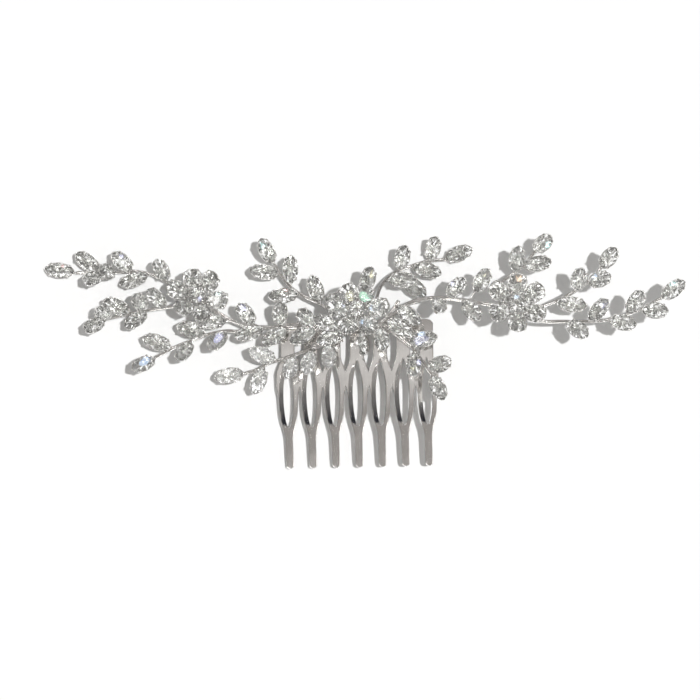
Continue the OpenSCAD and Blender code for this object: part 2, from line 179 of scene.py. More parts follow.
RIGHT_UPPER_PATH: tuple[Point, ...] = (
    (2.3, 11.3, 4.6), (3.8, 16.0, 3.8), (7.6, 19.8, 2.7), (11.5, 21.4, 1.9),
    (15.0, 22.6, 1.1), (20.1, 23.3, 0.5),
)
RIGHT_TOP_PATH: tuple[Point, ...] = (
    (32.8, 14.8, 5.8), (33.7, 16.6, 5.4), (37.3, 19.4, 5.0), (38.8, 20.6, 5.0),
    (42.3, 24.8, 5.0),
)
RIGHT_MIDDLE_PATH: tuple[Point, ...] = (
    (41.6, 10.0, 6.6), (46.9, 11.8, 6.8), (52.4, 14.8, 6.8), (55.0, 16.7, 6.8),
    (57.6, 19.2, 6.8), (58.6, 20.8, 6.8),
)
RIGHT_LONG_PATH: tuple[Point, ...] = (
    (39.4, 8.1, 7.4), (43.2, 6.9, 7.8), (49.1, 6.7, 8.2), (54.1, 6.7, 8.3),
    (59.0, 7.0, 8.3), (64.0, 8.3, 8.3), (68.0, 9.7, 8.3), (73.0, 12.5, 8.3),
)
DROOPING_PATH: tuple[Point, ...] = (
    (4.0, 6.5, 5.8), (6.8, 4.3, 6.1), (11.5, 0.3, 6.5), (14.8, -4.2, 6.8),
    (16.8, -6.9, 6.9),
)
CENTRE_PATH: tuple[Point, ...] = (
    (-13.4, 5.6, 6.1), (-7.6, 4.9, 6.4), (-1.9, 4.9, 6.8), (3.1, 6.2, 7.2),
    (6.8, 9.8, 7.7), (8.2, 12.0, 7.8),
)
CENTRE_FLOWER_PATH: tuple[Point, ...] = (
    (-1.9, 7.4, 6.2), (-1.8, 9.8, 6.7), (-0.4, 14.6, 5.7),
)

# Cups along each stem. Columns: distance, turn, pitch, roll, twig, lift
BRANCH_CUPS = cup_rows(
    (10.0, -153, 14, 10, 2.2, 0.0), (15.5, 132, 38, -15, 1.2, 0.0),
    (19.0, -161, 10, 12, 1.6, 1.0), (21.6, 88, 45, 10, 0.9, 0.2),
    (24.4, -150, 14, -10, 1.4, 0.0), (64.6, 52, 38, 12, 0.8, 0.1),
    (63.1, -97, 55, -10, 0.8, 0.1), (68.5, -42, 30, 10, 0.8, 0.1),
    (70.2, 64, 34, -12, 3.2, 0.0),
)
LEFT_UPPER_CUPS = cup_rows(
    (29.6, -8, 0, 8, 0.4, 0.0), (23.4, -38, 20, -14, 0.6, 0.1),
    (22.6, 40, 44, 10, 0.9, 0.1), (20.0, 10, 64, 0, 0.6, 0.1),
    (15.3, -43, 34, -10, 0.6, 0.1), (11.0, 36, 6, 12, 0.6, 0.0),
    (6.2, -40, 46, -12, 0.8, 0.1),
)
LEFT_MIDDLE_CUPS = cup_rows(
    (22.4, 32, 44, 10, 0.4, 0.0), (20.4, -40, 62, -12, 0.6, 0.1),
    (15.0, -34, 22, -10, 0.7, 0.1), (11.0, 34, 28, 12, 0.8, 0.0),
    (11.4, -62, 58, 0, 0.9, 0.1), (6.2, -45, 42, 8, 0.8, 0.1),
)
LEFT_LOWER_CUPS = cup_rows(
    (22.0, 8, 35, 12, 0.4, 0.0), (16.6, -46, 8, -12, 0.7, 0.0),
    (12.1, 44, 38, 14, 0.7, 0.0), (7.5, -36, 8, -10, 0.7, 0.0),
    (2.9, 44, 34, 10, 0.7, 0.0),
)
UPPER_CUPS = cup_rows(
    (21.4, 2, 30, 10, 0.4, 0.0), (18.2, 46, 14, 10, 0.5, 0.0),
    (14.2, -40, 22, -12, 0.7, 0.0), (11.0, 40, 8, 12, 0.6, 0.0),
    (5.2, -44, 22, -10, 0.6, 0.1),
)
LOWER_CUPS = cup_rows(
    (25.4, -8, 4, -10, 0.6, 0.0), (17.2, -38, 24, -10, 0.6, 0.0),
    (20.6, 42, 16, 12, 0.6, 0.0), (13.2, 66, 38, 10, 0.8, 0.0),
    (8.2, 62, 32, 10, 0.8, 0.0), (3.6, 70, 34, -8, 0.8, 0.0),
)
RIGHT_UPPER_CUPS = cup_rows(
    (11.2, 50, 40, -10, 0.6, 0.1), (19.4, 61, 42, -12, 0.6, 0.0),
    (23.1, 12, 10, 10, 0.4, 0.0), (14.6, -38, 12, 10, 0.6, 0.0),
    (6.9, -44, 20, 12, 0.7, 1.2), (10.4, -84, 4, 10, 2.2, 0.0),
)
RIGHT_TOP_CUPS = cup_rows(
    (13.6, -6, 48, 10, 0.4, 0.0), (8.6, -40, 24, 10, 0.6, 0.0),
    (6.2, 42, 36, -10, 0.6, 0.0),
)
RIGHT_MIDDLE_CUPS = cup_rows(
    (19.9, -10, 44, -10, 0.4, 0.0), (14.0, -22, 46, 10, 1.8, -0.2),
    (11.2, 44, 48, -10, 0.6, 0.0), (5.4, -26, 8, 20, 0.6, 0.1),
)
RIGHT_LONG_CUPS = cup_rows(
    (10.3, -40, 34, 10, 0.6, 0.0), (15.7, 42, 32, -10, 0.6, 0.0),
    (20.6, -30, 30, 10, 0.6, 0.0), (25.2, 34, 34, -10, 0.7, 0.0),
    (28.8, -26, 36, 10, 0.9, 0.0), (34.9, 4, 32, -8, 0.4, 0.0),
)
DROOPING_CUPS = cup_rows(
    (7.6, 50, 16, 8, 0.9, 0.2), (10.6, -38, 30, 12, 0.6, 0.0),
    (16.2, 71, 40, 10, 0.6, 0.0), (18.0, -16, 24, -10, 0.5, 0.0),
)
CENTRE_CUPS = cup_rows(
    (0.8, 142, 44, -10, 0.6, 0.0), (1.8, -146, 14, -10, 0.9, 0.0),
    (7.4, 162, 26, 8, 0.8, 0.3), (8.8, -154, 5, 6, 0.8, 0.0),
    (12.4, -94, 30, 62, 0.8, 0.0), (16.4, -88, 34, 12, 1.6, 0.0),
    (18.8, -76, 8, 10, 0.9, 0.2), (23.0, -96, 12, -10, 0.6, 0.3),
)
CENTRE_FLOWER_CUPS = cup_rows(
    (5.2, 106, 0, 8, 1.6, -1.4), (7.3, -4, 38, -8, 0.4, 0.0),
)


# ---- Arrays: turns, paths and surfaces ----


def turning(axis: int, degrees: Array | float) -> Array:
    """Matrices that turn about X, Y or Z.

    Args:
        axis: X, Y or Z.
        degrees: one angle or more.

    Returns:
        An array of shape (n, 3, 3).
    """
    a = np.radians(np.atleast_1d(np.asarray(degrees, float)))
    i, j = (axis + 1) % 3, (axis + 2) % 3
    found = np.zeros((len(a), 3, 3))
    found[:, axis, axis] = 1.0
    found[:, i, i] = found[:, j, j] = np.cos(a)
    found[:, j, i], found[:, i, j] = np.sin(a), -np.sin(a)
    return found


@dataclass(frozen=True)
class Places:
    """Places of n copies of one shape.

    Attributes:
        turn: turning matrices, of shape (n, 3, 3).
        at: origins of the copies, of shape (n, 3).
    """

    turn: Array
    at: Array

    def put(self, points: Array) -> Array:
        """Copies a shape to every place: P = R p + T.

        Args:
            points: the shape's points, of shape (k, 3).

        Returns:
            Points of shape (n, k, 3).
        """
        return np.einsum("nij,kj->nki", self.turn, points) + self.at[:, None, :]


def unit(vectors: Array) -> Array:
    """Scales vectors to length one."""
    return vectors / np.linalg.norm(vectors, axis=-1, keepdims=True)


def along(path: Array, distances: Array) -> tuple[Array, Array]:
    """Points and headings at distances along a path of straight steps.

    A distance beyond the last step carries on in its direction.

    Args:
        path: the path's points, of shape (m, 3).
        distances: distances from its base, of shape (n,).

    Returns:
        The points, of shape (n, 3), and the headings in degrees, of shape (n,).
    """
    steps = np.diff(path, axis=0)
    lengths = np.linalg.norm(steps, axis=1)
    ends = np.cumsum(lengths)
    index = np.clip(np.searchsorted(ends, distances, side="left"), 0, len(steps) - 1)
    rest = distances - (ends[index] - lengths[index])
    points = path[index] + steps[index] / lengths[index, None] * rest[:, None]
    return points, np.degrees(np.arctan2(steps[index, 1], steps[index, 0]))


def direction(heading: Array | float, pitch: Array | float) -> Array:
    """Unit vectors at a heading and a pitch, both in degrees."""
    h, p = np.radians(heading), np.radians(pitch)
    return np.stack([np.cos(h) * np.cos(p), np.sin(h) * np.cos(p), np.sin(p)], axis=-1)


def smooth_path(path: Array, spacing: float) -> Array:
    """Smooth curve through a path's points.

    Each step is a cubic with the points' mean slopes m as its end slopes:
    P(u) = h0 P0 + h1 m0 + h2 P1 + h3 m1.

    Args:
        path: the points, of shape (m, 3).
        spacing: about how far apart the curve's points are.

    Returns:
        The curve's points, of shape (k, 3).
    """
    lengths = np.linalg.norm(np.diff(path, axis=0), axis=1)
    knots = np.concatenate([[0.0], np.cumsum(lengths)])
    slopes = np.gradient(path, knots, axis=0)
    s = np.linspace(0.0, knots[-1], max(4, int(knots[-1] / spacing) + 1))
    i = np.clip(np.searchsorted(knots, s, side="right") - 1, 0, len(lengths) - 1)
    u = ((s - knots[i]) / lengths[i])[:, None]
    run = lengths[i][:, None]
    return (
        (2 * u**3 - 3 * u**2 + 1) * path[i]
        + (u**3 - 2 * u**2 + u) * run * slopes[i]
        + (3 * u**2 - 2 * u**3) * path[i + 1]
        + (u**3 - u**2) * run * slopes[i + 1]
    )


def frames(curve: Array) -> tuple[Array, Array]:
    """Level side vectors and up vectors along curves.

    S = Z x T and U = T x S, with T the curve's direction.

    Args:
        curve: points of shape (..., k, 3).

    Returns:
        Side and up vectors, of the same shape.
    """
    tangent = unit(np.gradient(curve, axis=-2))
    side = unit(np.cross([0.0, 0.0, 1.0], tangent))
    return side, np.cross(tangent, side)


def sweep(
    centres: Array, side: Array, up: Array, width: Array, height: Array, sides: int
) -> Array:
    """Oval section carried along paths: P = C + w cos(a) S + h sin(a) U.

    Args:
        centres: points of the paths, of shape (..., k, 3).
        side: side vectors, of the same shape.
        up: up vectors, of the same shape.
        width: half widths along the path, of shape (k,).
        height: half heights along the path, of shape (k,).
        sides: points round the section.

    Returns:
        Points of shape (n, k * sides, 3), for n paths.
    """
    a = 2 * np.pi * np.arange(sides) / sides
    across = (width[:, None] * np.cos(a))[..., None] * side[..., None, :]
    upward = (height[:, None] * np.sin(a))[..., None] * up[..., None, :]
    return (centres[..., None, :] + across + upward).reshape(
        -1, centres.shape[-2] * sides, 3
    )


def grid_faces(rows: int, columns: int, closed: bool) -> Faces:
    """Quads of a grid whose point number is row * columns + column.

    Args:
        rows: rows of points.
        columns: points in a row.
        closed: whether the last column joins the first.

    Returns:
        Point numbers, of shape (faces, 4).
    """
    r = np.arange(rows - 1)[:, None] * columns
    c = np.arange(columns if closed else columns - 1)[None, :]
    d = (c + 1) % columns
    quads = np.stack([r + c, r + d, r + columns + d, r + columns + c], axis=-1)
    return quads.reshape(-1, 4)


def tube_faces(rows: int, sides: int) -> list[Faces]:
    """Faces of a closed tube.

    Args:
        rows: rings of points.
        sides: points in a ring.

    Returns:
        Its quads, and a flat cap at each end.
    """
    first = np.arange(sides)[None, ::-1]
    last = (rows - 1) * sides + np.arange(sides)[None, :]
    return [grid_faces(rows, sides, True), first, last]


# How far a wire's rounded end is cut off, as a part of its radius
BLUNT = 0.1


def rounded_ends(rows: int, radius: float, spacing: float) -> Array:
    """Radii along a wire whose ends are rounded over one radius.

    r = R sqrt(1 - (1 - d / R)^2), with d the distance from the nearer end and the
    part that is cut off, so that the end is flat and small.

    Args:
        rows: points along the wire.
        radius: the wire's radius R.
        spacing: distance between neighbouring points.

    Returns:
        Radii of shape (rows,).
    """
    k = np.arange(rows)
    d = np.minimum(k, rows - 1 - k) * spacing + BLUNT * radius
    return radius * np.sqrt(1 - (1 - np.minimum(d / radius, 1.0)) ** 2)


# ---- Meshes ----


def new_object(name: str, data: bpy.types.ID) -> bpy.types.Object:
    """Makes an object and puts it in the scene.

    Args:
        name: its name.
        data: a mesh, a light or a camera.

    Returns:
        The object.
    """
    obj = bpy.data.objects.new(name, data)
    bpy.context.scene.collection.objects.link(obj)
    return obj


class Shell:
    """Gathers the surfaces of one piece, with points in millimetres."""

    # Points closer than this, in metres, are one point
    SAME = 1e-8

    def __init__(self) -> None:
        """Starts an empty piece."""
        self.points: list[Array] = []
        self.faces: list[list[int]] = []
        self.slots: list[int] = []
        self.count = 0

    def add(self, points: Array, faces: list[Faces], slot: int = 0) -> None:
        """Adds one shape, or copies of it.

        Args:
            points: points of shape (k, 3), or (n, k, 3) for n copies.
            faces: arrays of point numbers within one copy.
            slot: number of the material that the faces take.
        """
        copies = points.reshape((-1,) + points.shape[-2:])
        n, k = copies.shape[:2]
        starts = self.count + k * np.arange(n)
        for block in faces:
            rows = (block[None] + starts[:, None, None]).reshape(-1, block.shape[1])
            self.faces.extend(rows.tolist())
            self.slots.extend([slot] * len(rows))
        self.points.append(copies.reshape(-1, 3))
        self.count += n * k

    def piece(
        self, name: str, materials: list[Material], smooth: bool
    ) -> bpy.types.Object:
        """Makes the piece's object, in metres and in the part's frame.

        Args:
            name: the piece's name.
            materials: the materials that its faces' slots name.
            smooth: whether its faces are shaded as one curved surface.

        Returns:
            The object.
        """
        mesh = bpy.data.meshes.new(name)
        mesh.from_pydata((np.concatenate(self.points) * MM).tolist(), [], self.faces)
        mesh.polygons.foreach_set("material_index", self.slots)
        mesh.polygons.foreach_set("use_smooth", [smooth] * len(self.faces))
        work = bmesh.new()
        work.from_mesh(mesh)
        bmesh.ops.remove_doubles(work, verts=work.verts, dist=self.SAME)
        bmesh.ops.recalc_face_normals(work, faces=work.faces)
        work.to_mesh(mesh)
        work.free()
        for material in materials:
            mesh.materials.append(material)
        return new_object(name, mesh)


def mark_faces(obj: bpy.types.Object, name: str, colours: Array) -> None:
    """Stores one colour a face on a piece, for its material to read.

    Args:
        obj: the piece.
        name: the attribute's name.
        colours: red, green and blue of shape (faces, 3).
    """
    mesh = obj.data
    totals = np.empty(len(mesh.polygons), np.int64)
    mesh.polygons.foreach_get("loop_total", totals)
    rgba = np.concatenate([colours, np.ones((len(colours), 1))], axis=1)
    layer = mesh.attributes.new(name, "FLOAT_COLOR", "CORNER")
    layer.data.foreach_set("color", np.repeat(rgba, totals, axis=0).ravel())


def face_values(obj: bpy.types.Object, key: str, width: int) -> Array:
    """Reads a value of every face of a piece.

    Args:
        obj: the piece.
        key: the value's name, such as normal or area.
        width: how many numbers it has.

    Returns:
        The values, of shape (faces, width).
    """
    faces = obj.data.polygons
    found = np.empty(len(faces) * width)
    faces.foreach_get(key, found)
    return found.reshape(-1, width)


def settle(obj: bpy.types.Object, slot: Slot, *nodes: str) -> None:
    """Puts a finished piece in the place of its nodes, on the part's body.

    Args:
        obj: the piece.
        slot: the record's material slot of the piece; it is not used.
        nodes: the nodes that it stands for.
    """
    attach(obj, BODY)
    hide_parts(*nodes)
    faces = len(obj.data.polygons)
    log.info("%s: %d faces, for %s", obj.name, faces, ", ".join(nodes))


# ---- Finishes ----


class Nodes:
    """Short calls that add and join the nodes of a material, a group or the world."""

    def __init__(self, tree: bpy.types.NodeTree) -> None:
        """Works on a tree."""
        self.tree = tree

    def feed(self, node: bpy.types.Node, inputs: dict[str | int, object]) -> None:
        """Joins outputs to a node's inputs, or sets the inputs' values.

        Args:
            node: the node.
            inputs: an output or a value for each input, by its name or number.
        """
        for key, value in inputs.items():
            if isinstance(value, Socket):
                self.tree.links.new(value, node.inputs[key])
            else:
                node.inputs[key].default_value = value

    def add(
        self, kind: str, inputs: dict[str | int, object] | None = None,
        **settings: object,
    ) -> bpy.types.Node:
        """Adds a node.

        Args:
            kind: the node's type.
            inputs: outputs or values for its inputs, by their names or numbers.
            settings: values of its properties.

        Returns:
            The node.
        """
        node = self.tree.nodes.new(kind)
        for key, value in settings.items():
            setattr(node, key, value)
        self.feed(node, inputs or {})
        return node

    def remap(
        self, out: Socket, low: float, high: float,
        new_low: float = 0.0, new_high: float = 1.0,
    ) -> Socket:
        """Maps values between low and high to a new range, and clamps them.

        Args:
            out: the values.
            low: where the old range starts.
            high: where it ends.
            new_low: where the new range starts.
            new_high: where it ends.

        Returns:
            The output with the new values.
        """
        inputs = {"Value": out, "From Min": low, "From Max": high,
                  "To Min": new_low, "To Max": new_high}
        return self.add("ShaderNodeMapRange", inputs, clamp=True).outputs["Result"]

    def blend(
        self, mask: Socket, first: Colour | Socket, second: Colour | Socket,
        kind: str = "MIX",
    ) -> Socket:
        """Blends two colours by a mask.

        Args:
            mask: 0 for the first colour and 1 for the blend with the second.
            first: a colour, or the output that gives it.
            second: a colour, or the output that gives it.
            kind: how they are blended, such as MIX or ADD.

        Returns:
            The output with the blended colour.
        """
        inputs = {"Factor": mask}
        for key, colour in (("A", first), ("B", second)):
            inputs[key] = colour if isinstance(colour, Socket) else (*colour, 1.0)
        node = self.add("ShaderNodeMix", inputs, data_type="RGBA", blend_type=kind)
        return node.outputs["Result"]

    def vector(
        self, operation: str, first: Socket, second: Socket | Point,
        result: str = "Vector",
    ) -> Socket:
        """Reckons with two vectors.

        Args:
            operation: what is done with them, such as SUBTRACT.
            first: the first vector.
            second: the second one, or the output that gives it.
            result: name of the output, Vector or Value.

        Returns:
            The output with the result.
        """
        node = self.add(
            "ShaderNodeVectorMath", {0: first, 1: second}, operation=operation)
        return node.outputs[result]


def open_group(
    name: str, inputs: tuple[str, ...], outputs: tuple[str, ...]
) -> tuple[Nodes, bpy.types.Node, bpy.types.Node, Socket]:
    """Starts a node group whose inputs and outputs are numbers.

    Args:
        name: the group's name.
        inputs: names of its inputs.
        outputs: names of its outputs.

    Returns:
        Its nodes, its input node, its output node and the object's coordinates.
    """
    tree = bpy.data.node_groups.new(name, "ShaderNodeTree")
    for in_out, names in (("INPUT", inputs), ("OUTPUT", outputs)):
        for label in names:
            tree.interface.new_socket(
                label, in_out=in_out, socket_type="NodeSocketFloat")
    n = Nodes(tree)
    place = n.add("ShaderNodeTexCoord").outputs["Object"]
    return n, n.add("NodeGroupInput"), n.add("NodeGroupOutput"), place


# Scale of the polishing lines' pattern along X, Y and Z: they run along Y
LINE_STRETCH = (1.0, 0.08, 1.0)
# Height of the lines as a part of the clouding's
LINE_HEIGHT = 0.35


def polish_wear_group() -> bpy.types.NodeTree:
    """Makes the group with the fine wear of polished plated metal.

    Its outputs are Clouding, a soft patchiness, Lines, fine polishing lines, and
    Height, the small unevenness of the surface. Inputs give their scales.

    Returns:
        The group.
    """
    n, given, result, place = open_group(
        "polish_wear", ("Cloud Scale", "Line Scale"), ("Clouding", "Lines", "Height"))
    stretched = n.add("ShaderNodeMapping", {"Vector": place, "Scale": LINE_STRETCH})
    cloud = n.add("ShaderNodeTexNoise", {
        "Vector": place, "Scale": given.outputs["Cloud Scale"], "Detail": 3.0,
    }).outputs["Fac"]
    line = n.add("ShaderNodeTexNoise", {
        "Vector": stretched.outputs["Vector"], "Scale": given.outputs["Line Scale"],
        "Detail": 4.0,
    }).outputs["Fac"]
    height = n.add("ShaderNodeMath", {0: line, 1: LINE_HEIGHT, 2: cloud},
                   operation="MULTIPLY_ADD")
    n.feed(result, {
        "Clouding": cloud, "Lines": line, "Height": height.outputs["Value"]})
    return n.tree


def cell_tilt_group() -> bpy.types.NodeTree:
    """Makes the group that breaks a surface into small cells, each with its tilt.

    Its output Height is r . (p - c), with r a random direction for each cell, p the
    place in it and c the cell's middle, all in the pattern's own scale. Tone is a
    random value for each cell.

    Returns:
        The group.
    """
    n, given, result, place = open_group("cell_tilt", ("Scale",), ("Height", "Tone"))
    scaled = n.add("ShaderNodeVectorMath", {0: place, "Scale": given.outputs["Scale"]},
                   operation="SCALE").outputs["Vector"]
    cells = n.add(
        "ShaderNodeTexVoronoi", {"Vector": scaled, "Scale": 1.0}, feature="F1").outputs
    within = n.vector("SUBTRACT", scaled, cells["Position"])
    way = n.vector("SUBTRACT", cells["Color"], (0.5, 0.5, 0.5))
    apart = n.add("ShaderNodeSeparateColor", {"Color": cells["Color"]})
    n.feed(result, {
        "Height": n.vector("DOT_PRODUCT", way, within, "Value"),
        "Tone": apart.outputs["Red"],
    })
    return n.tree


def new_material(name: str) -> tuple[Material, Nodes, bpy.types.Node]:
    """Starts a material.

    Args:
        name: its name.

    Returns:
        The material, its nodes and its Principled shader.
    """
    made = bpy.data.materials.new(name)
    made.use_nodes = True
    return made, Nodes(made.node_tree), made.node_tree.nodes["Principled BSDF"]


@dataclass(frozen=True)
class CrumpledFoil:
    """Bright foil under the stones, broken into small cells.

    Attributes:
        name: the material's name.
        bright: colour of the brightest cells.
        dull: colour of the dullest cells.
        roughness: roughness of the dullest and the brightest cells.
        scale: size of the cells, as cells a metre.
        bump: height of the cells, in metres.
    """

    name: str
    bright: Colour
    dull: Colour
    roughness: tuple[float, float]
    scale: float
    bump: float

    def material(self, cells: bpy.types.NodeTree) -> Material:
        """Makes the material.

        Args:
            cells: the group with the tilted cells.

        Returns:
            The material.
        """
        made, n, shader = new_material(self.name)
        cell = n.add("ShaderNodeGroup", {"Scale": self.scale}, node_tree=cells)
        tone = cell.outputs["Tone"]
        bump = n.add("ShaderNodeBump", {
            "Distance": self.bump, "Height": cell.outputs["Height"]})
        n.feed(shader, {
            "Metallic": 1.0,
            "Base Color": n.blend(tone, self.dull, self.bright),
            "Roughness": n.remap(tone, 0.0, 1.0, *self.roughness),
            "Normal": bump.outputs["Normal"],
        })
        return made


@dataclass(frozen=True)
class PlatedMetal:
    """Polished silver plate.

    Attributes:
        name: the material's name.
        bright: colour where the polish is best.
        dull: colour in the clouded patches.
        roughness: least and greatest roughness.
        cloud_scale: size of the clouding, as a noise scale a metre.
        line_scale: size of the polishing lines, as a noise scale a metre.
        bump: height of the unevenness, in metres.
        side_shade_tone: how bright the painted shade leaves the sides of a thin wire,
            from 0 to 1.
    """

    name: str
    bright: Colour
    dull: Colour
    roughness: tuple[float, float]
    cloud_scale: float
    line_scale: float
    bump: float
    side_shade_tone: float = 1.0

    # Values of the clouding and the lines that count as none and as full
    CLOUDING = (0.35, 0.7)
    LINES = (0.3, 0.7)
    # Where the painted shade on a wire's sides starts and is full, as a facing from 0
    # to 1 at the rim
    SIDE_SHADE = (0.25, 0.65)

    def material(self, wear: bpy.types.NodeTree) -> Material:
        """Makes the material.

        Args:
            wear: the group with the fine wear.

        Returns:
            The material.
        """
        made, n, shader = new_material(self.name)
        worn = n.add("ShaderNodeGroup", {
            "Cloud Scale": self.cloud_scale, "Line Scale": self.line_scale,
        }, node_tree=wear).outputs
        clouded = n.remap(worn["Clouding"], *self.CLOUDING)
        tone = n.blend(clouded, self.bright, self.dull)
        # Painted shade: the base colour darkens where the surface turns away from the
        # view, at a wire's sides.
        if self.side_shade_tone < 1.0:
            facing = n.add("ShaderNodeLayerWeight").outputs["Facing"]
            side_shade = n.remap(facing, *self.SIDE_SHADE)
            tone = n.blend(side_shade, tone, (self.side_shade_tone,) * 3, "MULTIPLY")
        bump = n.add("ShaderNodeBump", {
            "Distance": self.bump, "Strength": 1.0, "Height": worn["Height"]})
        n.feed(shader, {
            "Metallic": 1.0,
            "Base Color": tone,
            "Roughness": n.remap(worn["Lines"], *self.LINES, *self.roughness),
            "Normal": bump.outputs["Normal"],
        })
        return made


@dataclass(frozen=True)
class CutCrystal:
    """Clear cut crystal, with a slight tint and a few facets that glow with painted
    glints.

    Attributes:
        name: the material's name.
        clear: colour of the clearest facets.
        smoky: colour of the darkest facets.
        ior: index of refraction.
        painted_glint: strength of the painted glints, which the facets emit.
        dullest: roughness of the darkest facets.
    """

    name: str
    clear: Colour
    smoky: Colour
    ior: float
    painted_glint: float
    dullest: float = 0.03

    def material(self) -> Material:
        """Makes the material.

        Returns:
            The material, which reads the colours facet and painted_glint of each face.
            The painted glints are emission that shows to the camera only.
        """
        made, n, shader = new_material(self.name)
        facet = n.add("ShaderNodeAttribute", attribute_name="facet").outputs["Fac"]
        # The face colours read here as emission are painted highlights and glints, seen
        # by the camera only.
        painted_glint = n.add("ShaderNodeAttribute", attribute_name="painted_glint").outputs["Color"]
        seen = n.add("ShaderNodeLightPath").outputs["Is Camera Ray"]
        n.feed(shader, {
            "IOR": self.ior,
            "Transmission Weight": 1.0,
            "Base Color": n.blend(facet, self.smoky, self.clear),
            "Roughness": n.remap(facet, 0.0, 1.0, self.dullest, 0.0),
            "Emission Color": n.blend(seen, (0.0, 0.0, 0.0), painted_glint),
            "Emission Strength": self.painted_glint,
        })
        return made


@dataclass(frozen=True)
class Finishes:
    """The object's materials."""

    comb: Material
    wire: Material
    cup: Material
    foil: Material
    crystal: Material

    @property
    def soldered(self) -> list[Material]:
        """The materials of a soldered piece: its wires, its cups and their inside."""
        return [self.wire, self.cup, self.foil]

    @classmethod
    def make(cls) -> "Finishes":
        """Makes the materials. The plated ones share one wear group.

        Returns:
            The materials.
        """
        wear = polish_wear_group()
        comb = PlatedMetal(
            "comb_plate_silver", bright=(0.80, 0.785, 0.77), dull=(0.72, 0.705, 0.69),
            roughness=(0.09, 0.17), cloud_scale=260.0, line_scale=2600.0,
            bump=0.000012,
        )
        wire = PlatedMetal(
            "wire_silver", bright=(0.86, 0.85, 0.83), dull=(0.74, 0.72, 0.70),
            roughness=(0.12, 0.24), cloud_scale=900.0, line_scale=4200.0,
            bump=0.000004, side_shade_tone=0.42,
        )
        cup = PlatedMetal(
            "cup_silver", bright=(0.84, 0.835, 0.82), dull=(0.70, 0.69, 0.67),
            roughness=(0.08, 0.18), cloud_scale=1400.0, line_scale=5200.0,
            bump=0.00002,
        )
        foil = CrumpledFoil(
            "foil_silver", bright=(1.0, 1.0, 0.985), dull=(0.92, 0.92, 0.90),
            roughness=(0.36, 0.12), scale=2100.0, bump=0.0006,
        )
        # The crystal's facets carry painted glints, which glow as emission.
        crystal = CutCrystal(
            "cut_crystal", clear=(1.0, 1.0, 0.99), smoky=(0.95, 0.96, 0.945),
            ior=1.7, painted_glint=0.9,
        )
        return cls(
            comb.material(wear), wire.material(wear), cup.material(wear),
            foil.material(cell_tilt_group()), crystal.material(),
        )


# ---- Cups and stones ----


